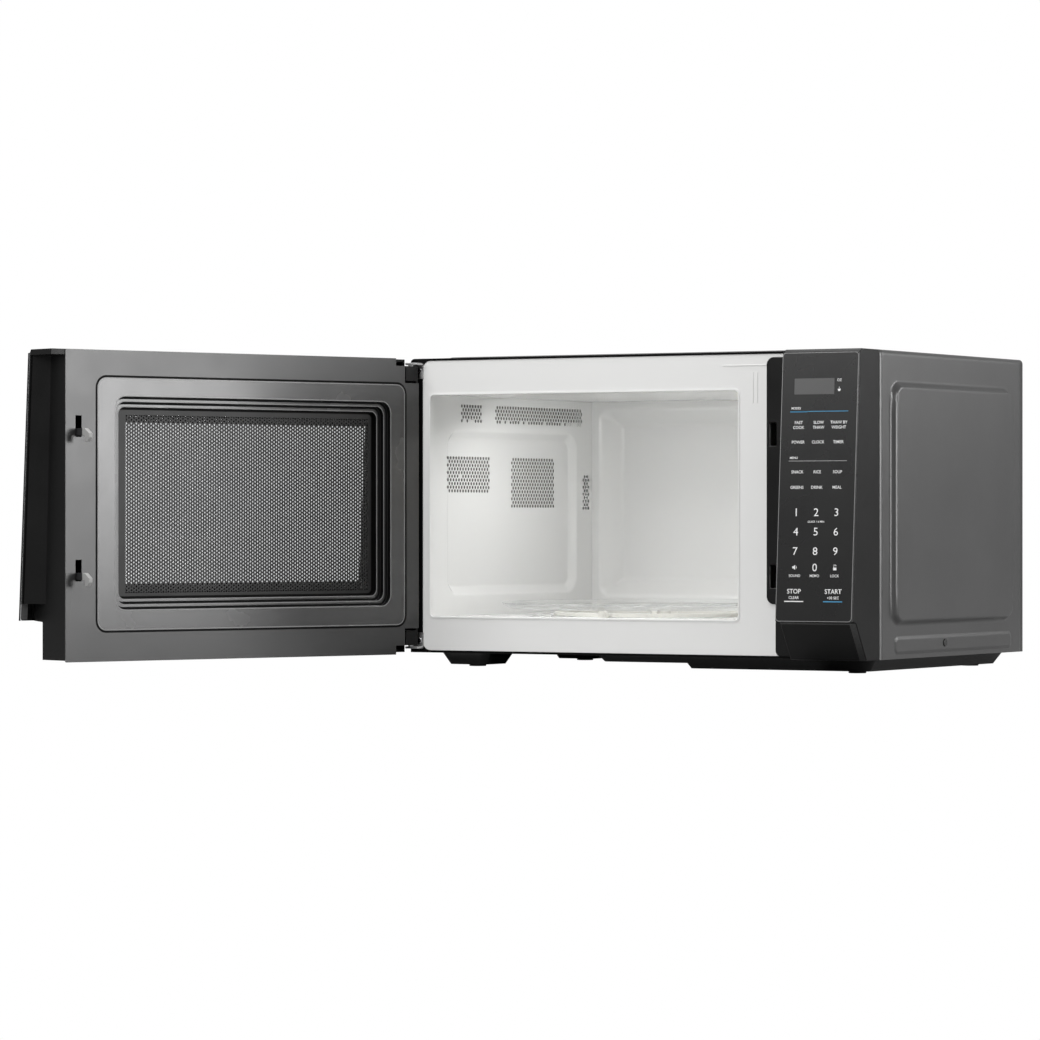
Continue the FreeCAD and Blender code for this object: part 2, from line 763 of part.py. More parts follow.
def around_table(shape, degrees):
    """Turn a shape drawn on the +x radius to its place round the turntable's axis."""
    shape.rotate(V(0, 0, 0), Z, degrees)
    shape.translate(V(table_x, table_depth, 0))
    return shape


def turntable_coupler():
    low, high = cav_floor + 0.5, table_heights()[2] - fit_gap
    stem_low = cav_floor - sheet - 11
    hub = rod(drive_hub_r, table_x, table_depth, low, Z, high - low)
    stem = rod(drive_r, table_x, table_depth, stem_low, Z, low + 0.5 - stem_low)
    half = drive_lobe_w / 2
    lobes = [around_table(box(0, drive_lobe_l, -half, half, low, high), 120 * i + 30) for i in range(3)]
    return joined([hub, stem] + lobes)


def turntable_tray():
    z = table_heights()[2]
    plate = rod(tray_r, table_x, table_depth, z, Z, tray_t)
    rim = ring_at(tray_r - tray_rim_w, tray_r, z, z + tray_t + tray_rim_h)
    low_r, high_r = tray_r - tray_rim_w - 6, tray_r - tray_rim_w / 2
    bevel = Part.makeCone(low_r, high_r, tray_rim_h, V(table_x, table_depth, z + tray_t), Z)
    tray = joined([plate, rim]).cut(bevel)
    near, far = drive_lobe_l - 3, drive_lobe_l + 3
    lugs = [around_table(box(near, far, -2.5, 2.5, z - lug_h, z), 120 * i + 90) for i in range(3)]
    return joined([tray] + lugs)


def wheel_angle(i):
    return 360.0 * i / wheel_count + 30.0


def at_wheel(shape, i):
    """Move a shape drawn on the +x radius from the axis to wheel i's place."""
    return around_table(shape, wheel_angle(i))


def roller_ring():
    z = table_heights()[1]
    ring = ring_at(TRACK_IN - 9, TRACK_IN - 3, z - axle_r - 0.2, z + axle_r + 0.6)
    pieces = [ring]
    for i in range(wheel_count):
        start, end = TRACK_IN - 5, wheel_track_r + wheel_w / 2 + fit_gap
        axle = Part.makeCylinder(axle_r, end - start, V(start, 0, z), X)
        head = Part.makeCylinder(axle_r + 0.9, 0.8, V(end, 0, z), X)
        pieces.append(at_wheel(axle.fuse(head), i))
    return joined(pieces)


def roller(i):
    z = table_heights()[1]
    start = V(wheel_track_r - wheel_w / 2, 0, z)
    wheel = Part.makeCylinder(wheel_r, wheel_w, start, X)
    return at_wheel(wheel.cut(Part.makeCylinder(axle_r + running, wheel_w, start, X)), i)


# Microwave source and cooling

def waveguide():
    g = GUIDE
    wall = g["wall"]
    duct = box(bay_left, bay_left + g["out"], g["y0"], g["end"], g["z0"], g["z1"])
    z0, z1 = g["z0"] + wall, g["z1"] - wall
    duct = duct.cut(box(bay_left - 1, bay_left + g["out"] - wall, g["y0"] + wall, g["end"] - wall, z0, z1))
    back = box(bay_left, bay_left + wall, g["y1"], g["end"] - wall, z0, z1)
    port = rod(g["port_r"], bay_left + g["out"] - 2, MAGNETRON["y"], MAGNETRON["z"], X, 4)
    return joined([duct, back]).cut(port)


def waveguide_cover():
    g, lap = GUIDE, 8
    return box(cav_right - 0.6, cav_right, g["y0"] - lap, g["y1"] + lap, g["z0"] - lap, g["z1"] + lap)


def magnetron_yoke():
    m = MAGNETRON
    x0, x1 = bay_left + GUIDE["out"], bay_left + GUIDE["out"] + m["w"]
    y, z, wall = m["y"], m["z"], m["wall"]
    yoke = box(x0, x1, y - m["half_d"], y + m["half_d"], z - m["half_h"], z + m["half_h"])
    inside = m["half_h"] - wall
    yoke = yoke.cut(box(x0 + wall, x1 - wall, y - 40, y + 40, z - inside, z + inside))
    return yoke.cut(rod(13.0, x0 - 1, y, z, X, m["w"] + 2))


def magnetron_tube():
    m = MAGNETRON
    x = bay_left + GUIDE["out"]
    anode = rod(m["anode_r"], x + m["wall"], m["y"], m["z"], X, m["w"] - 2 * m["wall"])
    antenna = rod(m["antenna_r"], x - 26, m["y"], m["z"], X, 26 + m["wall"] + 1)
    stem = rod(12.5, x + m["w"] - m["wall"], m["y"], m["z"], X, m["wall"])
    return joined([anode, antenna, stem])


def magnetron_fins():
    m = MAGNETRON
    x, half = bay_left + GUIDE["out"] + 10, 30
    fins = []
    for i in range(7):
        x0 = x + 6 * i
        fins.append(box(x0, x0 + 0.8, m["y"] - half, m["y"] + half, m["z"] - half, m["z"] + half))
    return Part.makeCompound(fins).cut(rod(m["anode_r"], x - 10, m["y"], m["z"], X, 60))


def magnetron_filter():
    m, half = MAGNETRON, 24
    x = bay_left + GUIDE["out"] + m["w"]
    return box(x, x + 28, m["y"] - half, m["y"] + half, m["z"] - half, m["z"] + half)


CORE = {"x": bay_left + 16.2, "y": 70.0, "w": 96.0, "d": 76.0, "h": 80.0, "limb": 16.0}


def transformer_core():
    c = CORE
    x0, x1, y0, y1 = c["x"], c["x"] + c["w"], c["y"], c["y"] + c["d"]
    z0, z1, limb = bay_floor_z, bay_floor_z + c["h"], c["limb"]
    core = box(x0, x1, y0, y1, z0, z1)
    for x in (x0 + limb, x1 - 2 * limb):
        core = core.cut(box(x, x + limb, y0 - 1, y1 + 1, z0 + limb, z1 - limb))
    return core


def transformer_windings():
    c, limb = CORE, CORE["limb"]
    z0, z1 = bay_floor_z + limb + fit_gap, bay_floor_z + c["h"] - limb - fit_gap
    x0, x1 = c["x"] + limb + fit_gap, c["x"] + c["w"] - limb - fit_gap
    y0, y1 = c["y"] - limb, c["y"] + c["d"] + limb
    middle = bay_floor_z + c["h"] / 2
    coils = []
    for low, high in ((z0, middle - 2), (middle + 2, z1)):
        coil = round_slab("level", low, high, x0, x1, y0, y1, limb - 2)
        limb_x = (c["x"] + 2 * limb - fit_gap, c["x"] + c["w"] - 2 * limb + fit_gap)
        hole = box(*limb_x, c["y"] - fit_gap, c["y"] + c["d"] + fit_gap, low - 1, high + 1)
        coils.append(coil.cut(hole))
    return Part.makeCompound(coils)


CAN = {"x0": bay_left + 34.2, "x1": bay_left + 86.2, "y0": 178.0, "y1": 210.0, "h": 74.0, "r": 15.0,
       "tag_h": 10.0, "tag_t": 0.8, "band_t": 1.2, "band_low": 30.0, "band_high": 46.0}


def capacitor():
    c, top = CAN, bay_floor_z + CAN["h"]
    can = round_slab("level", bay_floor_z, top, c["x0"], c["x1"], c["y0"], c["y1"], c["r"])
    middle = (c["y0"] + c["y1"]) / 2
    tags = []
    for x in (c["x0"] + 12, c["x1"] - 18):
        tags.append(box(x, x + 6, middle - c["tag_t"] / 2, middle + c["tag_t"] / 2, top, top + c["tag_h"]))
    return joined([can] + tags)


def capacitor_clamp():
    c, t = CAN, CAN["band_t"]
    low, high = bay_floor_z + c["band_low"], bay_floor_z + c["band_high"]
    outside = (c["x0"] - t, c["x1"] + t, c["y0"] - t, c["y1"] + t)
    inside = (c["x0"], c["x1"], c["y0"], c["y1"])
    band = round_slab("level", low, high, *outside, c["r"] + 1)
    band = band.cut(round_slab("level", low - 1, high + 1, *inside, c["r"]))
    x, y = c["x1"] + 1, (c["y0"] + c["y1"]) / 2
    post = box(x, x + 15, y - 1, y + 1, bay_floor_z, high)
    return joined([band, post, box(x + 1, x + 15, y - 1, y + 11, bay_floor_z, bay_floor_z + 1.2)])


def diode():
    c, z = CAN, bay_floor_z + CAN["h"] + CAN["tag_h"]
    x, y = c["x0"] + 12, (c["y0"] + c["y1"]) / 2
    tab = box(x, x + 6, y - c["tag_t"] / 2, y + 12, z, z + 1)
    return joined([rod(3.5, x + 3, y + 12, z, X, 22), tab])


FAN = {"motor_half_w": 22.0, "motor_half_h": 24.0, "motor_gap": 8.0, "motor_d": 12.0, "hub_r": 12.0, "hub_l": 16.0,
       "chord": 18.0, "blade_t": 1.5, "pitch_deg": 38.0, "wall": 2.0, "house": 6.0, "arm_half_h": 6.0}


def fan_shroud():
    y0, y1 = fan_front, rear - sheet
    side, ring_r = fan_r + FAN["house"], fan_r + fan_tip_gap
    shroud = box(fan_x - side, fan_x + side, y0, y1, fan_z - side, fan_z + side)
    shroud = shroud.cut(rod(ring_r, fan_x, y0 - 1, fan_z, Y, fan_house_d + 2))
    room, wall = side - FAN["wall"], FAN["wall"]
    shroud = shroud.cut(box(fan_x - room, fan_x + room, y0 + wall, y1 + 1, fan_z - room, fan_z + room))
    return shroud.fuse(tube(ring_r + wall, ring_r, fan_x, y0, fan_z, Y, y1 - y0 - wall))


def fan_motor():
    f = FAN
    back = fan_front - f["motor_gap"]
    half_w, half_h, arm_h = f["motor_half_w"], f["motor_half_h"], f["arm_half_h"]
    side, wall = fan_r + f["house"], f["wall"]
    core = box(fan_x - half_w, fan_x + half_w, back - f["motor_d"], back, fan_z - half_h, fan_z + half_h)
    arm = box(fan_x - side, fan_x + side, back - wall, back, fan_z - arm_h, fan_z + arm_h)
    legs = []
    for x in (fan_x - side, fan_x + side - wall):
        legs.append(box(x, x + wall, back - wall, fan_front, fan_z - arm_h, fan_z + arm_h))
    bore = rod(fan_shaft_r + running, fan_x, back - f["motor_d"] + 2, fan_z, Y, f["motor_d"])
    return joined([core, arm] + legs).cut(bore)


def fan_blade():
    f = FAN
    hub = rod(f["hub_r"], fan_x, fan_front + 2, fan_z, Y, f["hub_l"])
    shaft_l = f["motor_gap"] + f["motor_d"] + 2
    shaft = rod(fan_shaft_r, fan_x, fan_front - shaft_l + 5, fan_z, Y, shaft_l)
    blades = [hub, shaft]
    for i in range(fan_blades):
        half_t, half_chord = f["blade_t"] / 2, f["chord"] / 2
        blade = box(-half_t, half_t, -half_chord, half_chord, f["hub_r"] - 4, fan_r)
        blade.rotate(V(0, 0, 0), Z, f["pitch_deg"])
        blade.translate(V(0, fan_front + 12, 0))
        blade.rotate(V(0, 0, 0), Y, 360.0 * i / fan_blades)
        blade.translate(V(fan_x, 0, fan_z))
        blades.append(blade)
    keep = rod(fan_r, fan_x, fan_front - 18, fan_z, Y, 50)
    return joined(blades).common(keep)


def lamp_holder():
    m = LAMP
    y0, y1, z0, z1 = m["y"] - m["half_d"], m["y"] + m["half_d"], m["z"] - m["half_h"], m["z"] + m["half_h"]
    wall = m["wall"]
    holder = box(bay_left, bay_left + m["out"], y0, y1, z0, z1)
    room = box(bay_left - 1, bay_left + m["out"] - wall, y0 + wall, y1 - wall, z0 + wall, z1 - wall)
    return holder.cut(room)


def lamp_bulb():
    m, x = LAMP, bay_left + 5
    bulb = rod(m["r"], x, m["y"], m["z"], X, m["l"])
    ends = [edge for edge in bulb.Edges if isinstance(edge.Curve, Part.Circle)]
    bulb = bulb.makeFillet(4.0, ends)
    cap_l = bay_left + m["out"] - m["wall"] - x - m["l"] + 1
    return joined([bulb, rod(m["cap_r"], x + m["l"] - 1, m["y"], m["z"], X, cap_l)])


def thermal_cutouts():
    roof = cav_roof + sheet
    cutouts = []
    for x, y in ((cav_right - 99, 60), (cav_right - 49, 250)):
        ears = box(x - 14, x + 14, y - 4, y + 4, roof, roof + 1.2)
        cutouts.append(joined([rod(8, x, y, roof, Z, 5), ears]))
    return Part.makeCompound(cutouts)


FILTER = {"w": 48.0, "h": 44.0, "t": 1.6, "stand_off": 6.4}


def filter_board():
    f = FILTER
    x0, y0, z0 = bay_left + 10.2, rear - sheet - f["stand_off"] - f["t"], front_top_z - 54
    x1, z1 = x0 + f["w"], z0 + f["h"]
    board = box(x0, x1, y0, y0 + f["t"], z0, z1)
    choke = rod(8, x0 + 18, y0 - 12, z0 + 26, Y, 12)
    fuse = rod(3, x0 + 6, y0 - 2.5, z0 + 8, X, 30)
    posts = [rod(2.5, x, y0 + f["t"], z, Y, f["stand_off"]) for x in (x0 + 4, x1 - 4) for z in (z0 + 5, z1 - 4)]
    return joined([board, choke, fuse] + posts)


# Interlock

SWITCH = {"y": 24.0, "d": 20.0, "below": 10.0, "above": 4.0, "plunger_r": 1.5, "plunger_drop": 3.0}
BRACKET_T = 3.0


def latch_bracket():
    high, low = hook_heights()
    z0, z1 = low - 25.5, high + 24.0
    x = hook_x + slot_w
    web = box(x, x + BRACKET_T, sheet, SWITCH["y"] + SWITCH["d"] + 4, z0, z1)
    foot = box(x + BRACKET_T, x + 17, sheet, sheet + 2.5, z0, z1)
    return joined([web, foot])


def interlock_switches():
    w = SWITCH
    bodies = []
    for z in hook_heights():
        y0, y1, z0, z1 = w["y"], w["y"] + w["d"], z - w["below"], z + w["above"]
        body = box(hook_x - slot_w / 2, hook_x + slot_w, y0, y1, z0, z1)
        bore = rod(w["plunger_r"] + running, hook_x, y0 - 1, z - w["plunger_drop"], Y, 8)
        bodies.append(body.cut(bore))
    return Part.makeCompound(bodies)


def switch_plunger(z):
    tip = hook_reach - door_gap + 0.7
    return rod(SWITCH["plunger_r"], hook_x, tip, z - SWITCH["plunger_drop"], Y, SWITCH["y"] + 4 - tip)


def build():
    export("outer_cover", outer_cover())
    export("cover_screws", cover_screws())
    export("base_plate", base_plate())
    export("feet", feet())
    export("front_plate", front_plate())
    export("rear_plate", rear_plate())
    export("cord_gland", cord_gland())
    export("cavity_left_wall", cavity_left_wall())
    export("cavity_right_wall", cavity_right_wall())
    export("cavity_roof", cavity_roof())
    export("cavity_floor", cavity_floor())
    export("waveguide_cover", waveguide_cover())
    export("waveguide", waveguide())
    export("magnetron_yoke", magnetron_yoke())
    export("magnetron_tube", magnetron_tube())
    export("magnetron_fins", magnetron_fins())
    export("magnetron_filter", magnetron_filter())
    export("transformer_core", transformer_core())
    export("transformer_windings", transformer_windings())
    export("capacitor", capacitor())
    export("capacitor_clamp", capacitor_clamp())
    export("diode", diode())
    export("fan_shroud", fan_shroud())
    export("fan_motor", fan_motor())
    export("fan_blade", fan_blade())
    export("lamp_holder", lamp_holder())
    export("lamp_bulb", lamp_bulb())
    export("thermal_cutouts", thermal_cutouts())
    export("filter_board", filter_board())
    export("latch_bracket", latch_bracket())
    export("interlock_switches", interlock_switches())
    export("upper_plunger", switch_plunger(hook_heights()[0]))
    export("lower_plunger", switch_plunger(hook_heights()[1]))
    export("upper_hinge", hinge_bracket(True))
    export("lower_hinge", hinge_bracket(False))
    export("hinge_screws", hinge_screws())
    export("control_panel_housing", control_panel_housing())
    export("control_panel_glass", face_glass(panel_left, cab_w))
    export("display_module", display_module())
    export("control_board", control_board())
    export("turntable_motor", turntable_motor())
    export("turntable_coupler", turntable_coupler())
    export("turntable_tray", turntable_tray())
    export("roller_ring", roller_ring())
    for i in range(wheel_count):
        export("roller_%d" % (i + 1), roller(i))
    export_on_door("door_frame", door_frame())
    export_on_door("door_glass", face_glass(0, glass_right))
    export_on_door("door_inner_panel", door_inner_panel())
    export_on_door("door_choke_cover", door_choke_cover())
    export_on_door("door_screen", door_screen())
    export_on_door("door_film", door_film())
    export_on_door("latch_lever", latch_lever())
    export_on_door("latch_guides", latch_guides())
    export_on_door("latch_spring", latch_spring())
    export_on_door("spring_seat", spring_seat())


os.makedirs("parts", exist_ok=True)
build()
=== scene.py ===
import json
import math

import bmesh
import bpy
from mathutils import Matrix, Vector


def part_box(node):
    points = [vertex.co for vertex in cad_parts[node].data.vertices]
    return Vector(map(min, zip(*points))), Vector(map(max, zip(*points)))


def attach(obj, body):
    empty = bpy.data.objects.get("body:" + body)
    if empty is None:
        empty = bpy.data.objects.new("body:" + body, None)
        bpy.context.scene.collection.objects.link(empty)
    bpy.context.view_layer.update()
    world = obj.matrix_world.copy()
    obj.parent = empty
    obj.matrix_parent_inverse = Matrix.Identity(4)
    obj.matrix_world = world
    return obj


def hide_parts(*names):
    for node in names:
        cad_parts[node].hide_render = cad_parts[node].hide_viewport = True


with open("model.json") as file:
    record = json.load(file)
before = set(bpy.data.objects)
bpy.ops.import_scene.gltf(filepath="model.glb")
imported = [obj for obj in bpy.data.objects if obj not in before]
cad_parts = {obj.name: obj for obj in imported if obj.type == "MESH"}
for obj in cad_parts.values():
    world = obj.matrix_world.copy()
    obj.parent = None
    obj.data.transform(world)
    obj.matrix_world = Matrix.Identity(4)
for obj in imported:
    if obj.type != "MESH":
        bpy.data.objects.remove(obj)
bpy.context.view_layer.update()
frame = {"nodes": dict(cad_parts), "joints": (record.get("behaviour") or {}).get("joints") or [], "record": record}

# Metres, in the row frame: +X right, +Y back, +Z up. Door pieces are drawn closed, then opened.

MM = 0.001
SHEET = 0.8 * MM
GLASS_T = 3.0 * MM
BODY = "chassis"

joints = {j["name"]: j for j in frame["joints"]}
hinge = joints["door_hinge"]
PIN = Vector(hinge["pos_m"])
SHUT = math.radians(hinge["range_deg"][1])
TO_OPEN = Matrix.Translation(PIN) @ Matrix.Rotation(-SHUT, 4, "Z") @ Matrix.Translation(-PIN)
TO_SHUT = TO_OPEN.inverted()

plate_low, plate_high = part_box("front_plate")
FRONT = plate_low.y
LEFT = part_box("outer_cover")[0].x + 5.0 * MM
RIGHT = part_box("outer_cover")[1].x - 5.0 * MM
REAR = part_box("outer_cover")[1].y


def shut_box(node):
    """(lowest, highest) corner of a door node with the door closed."""
    points = [TO_SHUT @ v.co for v in frame["nodes"][node].data.vertices]
    low = Vector([min(p[i] for p in points) for i in range(3)])
    high = Vector([max(p[i] for p in points) for i in range(3)])
    return low, high


# Materials

def new_material(name):
    material = bpy.data.materials.new(name)
    material.use_nodes = True
    nodes, links = material.node_tree.nodes, material.node_tree.links
    return material, nodes, links, nodes["Principled BSDF"]


def noise(nodes, links, scale, detail=3.0, stretch=(1, 1, 1)):
    coords = nodes.new("ShaderNodeTexCoord")
    mapping = nodes.new("ShaderNodeMapping")
    mapping.inputs["Scale"].default_value = stretch
    texture = nodes.new("ShaderNodeTexNoise")
    texture.inputs["Scale"].default_value = scale
    texture.inputs["Detail"].default_value = detail
    links.new(coords.outputs["Object"], mapping.inputs["Vector"])
    links.new(mapping.outputs["Vector"], texture.inputs["Vector"])
    return texture.outputs["Fac"]


def ramp(nodes, links, source, low, high, start=0.3, end=0.7):
    """Colours, or greys, from low to high over a stretch of the source."""
    as_colour = [c if isinstance(c, tuple) else (c, c, c) for c in (low, high)]
    node = nodes.new("ShaderNodeValToRGB")
    for element, place, colour in zip(node.color_ramp.elements, (start, end), as_colour):
        element.position = place
        element.color = (*colour, 1)
    links.new(source, node.inputs["Fac"])
    return node.outputs["Color"]


def bump(nodes, links, shader, source, strength, distance):
    node = nodes.new("ShaderNodeBump")
    node.inputs["Strength"].default_value = strength
    node.inputs["Distance"].default_value = distance
    links.new(source, node.inputs["Height"])
    links.new(node.outputs["Normal"], shader.inputs["Normal"])


def surface(name, dark, light, rough=(0.35, 0.45), metallic=0.0, grain=900.0, depth=0.02 * MM,
            strength=0.25, blotch=9.0, stretch=(1, 1, 1), **sockets):
    """A finish with slow colour drift, uneven roughness and a fine surface grain."""
    material, nodes, links, shader = new_material(name)
    drift = noise(nodes, links, blotch, 4.0, stretch)
    fine = noise(nodes, links, grain, 2.0, stretch)
    links.new(ramp(nodes, links, drift, dark, light), shader.inputs["Base Color"])
    links.new(ramp(nodes, links, noise(nodes, links, blotch * 3, 3.0), *rough), shader.inputs["Roughness"])
    shader.inputs["Metallic"].default_value = metallic
    for socket, value in sockets.items():
        shader.inputs[socket.replace("_", " ")].default_value = value
    bump(nodes, links, shader, fine, strength, depth)
    return material


def glass(name, colour, rough, ior=1.46, alpha=1.0):
    material, nodes, links, shader = new_material(name)
    fine = noise(nodes, links, 14.0, 2.0)
    links.new(ramp(nodes, links, fine, tuple(c * 0.97 for c in colour), colour), shader.inputs["Base Color"])
    links.new(ramp(nodes, links, noise(nodes, links, 60.0), *rough), shader.inputs["Roughness"])
    shader.inputs["Transmission Weight"].default_value = 1.0
    shader.inputs["IOR"].default_value = ior
    shader.inputs["Alpha"].default_value = alpha
    return material


def laminations():
    """Stacked varnished sheets seen edge on."""
    material, nodes, links, shader = new_material("core_laminations")
    coords = nodes.new("ShaderNodeTexCoord")
    wave = nodes.new("ShaderNodeTexWave")
    wave.bands_direction = "Y"
    wave.inputs["Scale"].default_value = 320.0
    wave.inputs["Distortion"].default_value = 0.3
    links.new(coords.outputs["Object"], wave.inputs["Vector"])
    links.new(ramp(nodes, links, wave.outputs["Fac"], 0.05, 0.16, 0.2, 0.8), shader.inputs["Base Color"])
    shader.inputs["Metallic"].default_value = 0.6
    shader.inputs["Roughness"].default_value = 0.5
    bump(nodes, links, shader, wave.outputs["Fac"], 0.4, 0.1 * MM)
    return material


def hook_material():
    """Lever that is black along the arm and pale grey at the heads, the part furthest out of the door."""
    material, nodes, links, shader = new_material("latch_plastic")
    head = TO_OPEN @ Vector((0, FRONT + 6.5 * MM, 0))
    outward = (TO_OPEN.to_3x3() @ Vector((0, 1, 0))).normalized()
    coords = nodes.new("ShaderNodeTexCoord")
    along = nodes.new("ShaderNodeVectorMath")
    along.operation = "DOT_PRODUCT"
    along.inputs[1].default_value = outward
    shift = nodes.new("ShaderNodeMath")
    shift.operation = "SUBTRACT"
    shift.inputs[1].default_value = outward.dot(head)
    scale = nodes.new("ShaderNodeMath")
    scale.operation = "MULTIPLY_ADD"
    scale.inputs[1].default_value = 1000.0
    scale.inputs[2].default_value = 0.5
    links.new(coords.outputs["Object"], along.inputs[0])
    links.new(along.outputs["Value"], shift.inputs[0])
    links.new(shift.outputs["Value"], scale.inputs[0])
    pale = (0.3, 0.3, 0.295)
    links.new(ramp(nodes, links, scale.outputs["Value"], (0.02, 0.02, 0.021), pale, 0.2, 0.8),
              shader.inputs["Base Color"])
    shader.inputs["Roughness"].default_value = 0.42
    bump(nodes, links, shader, noise(nodes, links, 700.0), 0.2, 0.02 * MM)
    return material


FINISH = {
    "cover_black": surface("cover_paint", 0.046, 0.053, (0.3, 0.36), grain=1600, Coat_Weight=0.4,
                           Coat_Roughness=0.25),
    "base_black": surface("base_paint", 0.006, 0.01, (0.18, 0.26), grain=1400, Coat_Weight=0.4,
                          Coat_Roughness=0.12),
    "cavity_enamel": surface("cavity_enamel", (0.765, 0.765, 0.755), (0.775, 0.775, 0.765), (0.24, 0.26),
                             grain=700, strength=0.06, Coat_Weight=0.5, Coat_Roughness=0.12),
    "door_grey": surface("door_paint", 0.02, 0.024, (0.3, 0.36), grain=1500, Coat_Weight=0.25,
                         Coat_Roughness=0.2),
    "black_plastic": surface("moulded_black", 0.004, 0.006, (0.3, 0.4), grain=2200, strength=0.3,
                             Specular_IOR_Level=0.2),
    "choke_grey": surface("choke_moulding", 0.028, 0.034, (0.22, 0.28), grain=1800, strength=0.3,
                          Coat_Weight=0.5, Coat_Roughness=0.2),
    "tinted_glass": glass("tinted_glass", (0.72, 0.73, 0.74), (0.0, 0.02)),
    "clear_glass": glass("tray_glass", (0.97, 0.99, 0.98), (0.05, 0.1), 1.15, 0.5),
    "clear_film": glass("door_film", (0.95, 0.95, 0.95), (0.02, 0.05), 1.1),
    "zinc_steel": surface("zinc_plate", 0.5, 0.66, (0.28, 0.42), 1.0, 260, blotch=30, stretch=(1, 1, 4)),
    "pin_steel": surface("bright_steel", 0.6, 0.75, (0.16, 0.24), 1.0, 400, stretch=(1, 1, 6)),
    "core_iron": laminations(),
    "copper": surface("varnished_copper", (0.45, 0.16, 0.06), (0.62, 0.26, 0.1), (0.25, 0.4), 0.85, 900,
                      0.15 * MM, 0.6, stretch=(1, 1, 12)),
    "aluminium": surface("plain_aluminium", 0.6, 0.72, (0.3, 0.4), 1.0, 500),
    "rubber": surface("foot_rubber", 0.012, 0.022, (0.65, 0.8), grain=1100, strength=0.5),
    "white_plastic": surface("natural_plastic", (0.62, 0.61, 0.57), (0.7, 0.69, 0.65), (0.4, 0.5)),
    "mica": surface("mica_sheet", (0.42, 0.36, 0.26), (0.62, 0.56, 0.45), (0.35, 0.55), blotch=60),
    "board_green": surface("circuit_board", (0.01, 0.08, 0.03), (0.02, 0.16, 0.06), (0.3, 0.45), blotch=160),
    "display_black": surface("display_face", 0.07, 0.08, (0.12, 0.18)),
}
PANEL_GLASS = surface("panel_glass", 0.006, 0.009, (0.26, 0.3), grain=60, strength=0.03, Coat_Weight=0.2,
                      Coat_Roughness=0.22, Specular_IOR_Level=0.35)
DISPLAY_FACE = surface("display_window", 0.07, 0.076, (0.3, 0.34), grain=200, strength=0.02)
WHITE_INK = surface("white_ink", 0.78, 0.84, (0.5, 0.6), grain=3000)
GREY_INK = surface("grey_ink", 0.3, 0.34, (0.5, 0.6), grain=3000)
BLUE_INK = surface("blue_ink", (0.04, 0.24, 0.44), (0.05, 0.28, 0.5), (0.5, 0.6), grain=3000)
# Painted highlight: light grey for the strip along the panel glass's edge.
PANEL_RIM_HIGHLIGHT = surface("painted_rim_highlight", 0.2, 0.26, (0.3, 0.4), grain=2000)
# Painted highlight: light grey for the bright lines drawn along the door's choke gap and window steps, where light
# catches the edges.
PAINTED_HIGHLIGHT_GREY = surface("painted_edge_highlight", 0.16, 0.2, (0.25, 0.35), grain=2000)
SCREEN_GREY = surface("screen_paint", 0.01, 0.013, (0.36, 0.42), grain=1500, Specular_IOR_Level=0.3)
# Lighter grey for a strip on the back of the door glass along its free edge.
GLASS_BACK = surface("glass_edge_grey", 0.1, 0.12, (0.3, 0.4), grain=900)
# Near-black for real print, such as the door glass's border, and for painted shade: the choke gap and the walls
# and feet of the window's steps.
PRINT_INK_AND_PAINTED_SHADE = surface("print_ink_and_painted_shade", 0.003, 0.005, (0.4, 0.5), grain=900, Specular_IOR_Level=0.04)


def paint(obj, material):
    obj.data.materials.clear()
    obj.data.materials.append(material)


def soften(obj, width, segments=2, angle=28.0):
    """Merge, clean, round the sharp edges a little and shade the rounding smoothly."""
    weld = obj.modifiers.new("weld", "WELD")
    weld.merge_threshold = 1e-6
    clean = obj.modifiers.new("clean", "DECIMATE")
    clean.decimate_type = "DISSOLVE"
    clean.angle_limit = math.radians(0.5)
    bevel = obj.modifiers.new("bevel", "BEVEL")
    bevel.width = width
    bevel.segments = segments
    bevel.limit_method = "ANGLE"
    bevel.angle_limit = math.radians(angle)
    bevel.miter_outer = "MITER_ARC"
    normals = obj.modifiers.new("normals", "WEIGHTED_NORMAL")
    normals.weight = 60
    normals.keep_sharp = False


ROUNDED = {
    "front_plate": 0.3, "base_plate": 0.4, "control_panel_housing": 0.9, "control_panel_glass": 0.5,
    "door_frame": 0.8, "door_glass": 0.5, "door_inner_panel": 0.35, "door_choke_cover": 0.5,
    "latch_lever": 0.5, "upper_hinge": 0.3, "lower_hinge": 0.3, "feet": 0.5, "cord_gland": 0.6,
    "hinge_screws": 0.3, "cover_screws": 0.5, "roller_ring": 0.4, "turntable_coupler": 0.4,
}


def finish_nodes():
    slots = {part["node"]: part["material_slot"] for part in frame["record"]["subparts"]}
    for node, obj in frame["nodes"].items():
        paint(obj, FINISH[slots[node]])
        if node in ROUNDED:
            soften(obj, ROUNDED[node] * MM)
    paint(frame["nodes"]["control_panel_glass"], PANEL_GLASS)
    paint(frame["nodes"]["latch_lever"], hook_material())
    paint(frame["nodes"]["cover_screws"], FINISH["base_black"])


# Mesh helpers

def add_piece(name, mesh, body, material):
    obj = bpy.data.objects.new(name, mesh)
    bpy.context.scene.collection.objects.link(obj)
    paint(obj, material)
    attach(obj, body)
    return obj


def smooth_mesh(mesh):
    for face in mesh.polygons:
        face.use_smooth = True


def inside_distance(u, v, rect, r):
    """How far (u, v) lies inside a rounded rectangle's outline; negative outside it."""
    qu = abs(u - (rect[0] + rect[1]) / 2) - (rect[1] - rect[0]) / 2 + r
    qv = abs(v - (rect[2] + rect[3]) / 2) - (rect[3] - rect[2]) / 2 + r
    return r - math.hypot(max(qu, 0), max(qv, 0)) - min(max(qu, qv), 0)


def press(u, v, rect, r, slope, depth):
    """Height of a soft-edged pressing at (u, v)."""
    t = min(max(inside_distance(u, v, rect, r) / slope, 0.0), 1.0)
    bend = 0.2
    if t < bend:
        return depth * t * t / (2 * bend * (1 - bend))
    if t > 1 - bend:
        return depth * (1 - (1 - t) ** 2 / (2 * bend * (1 - bend)))
    return depth * (t - bend / 2) / (1 - bend)


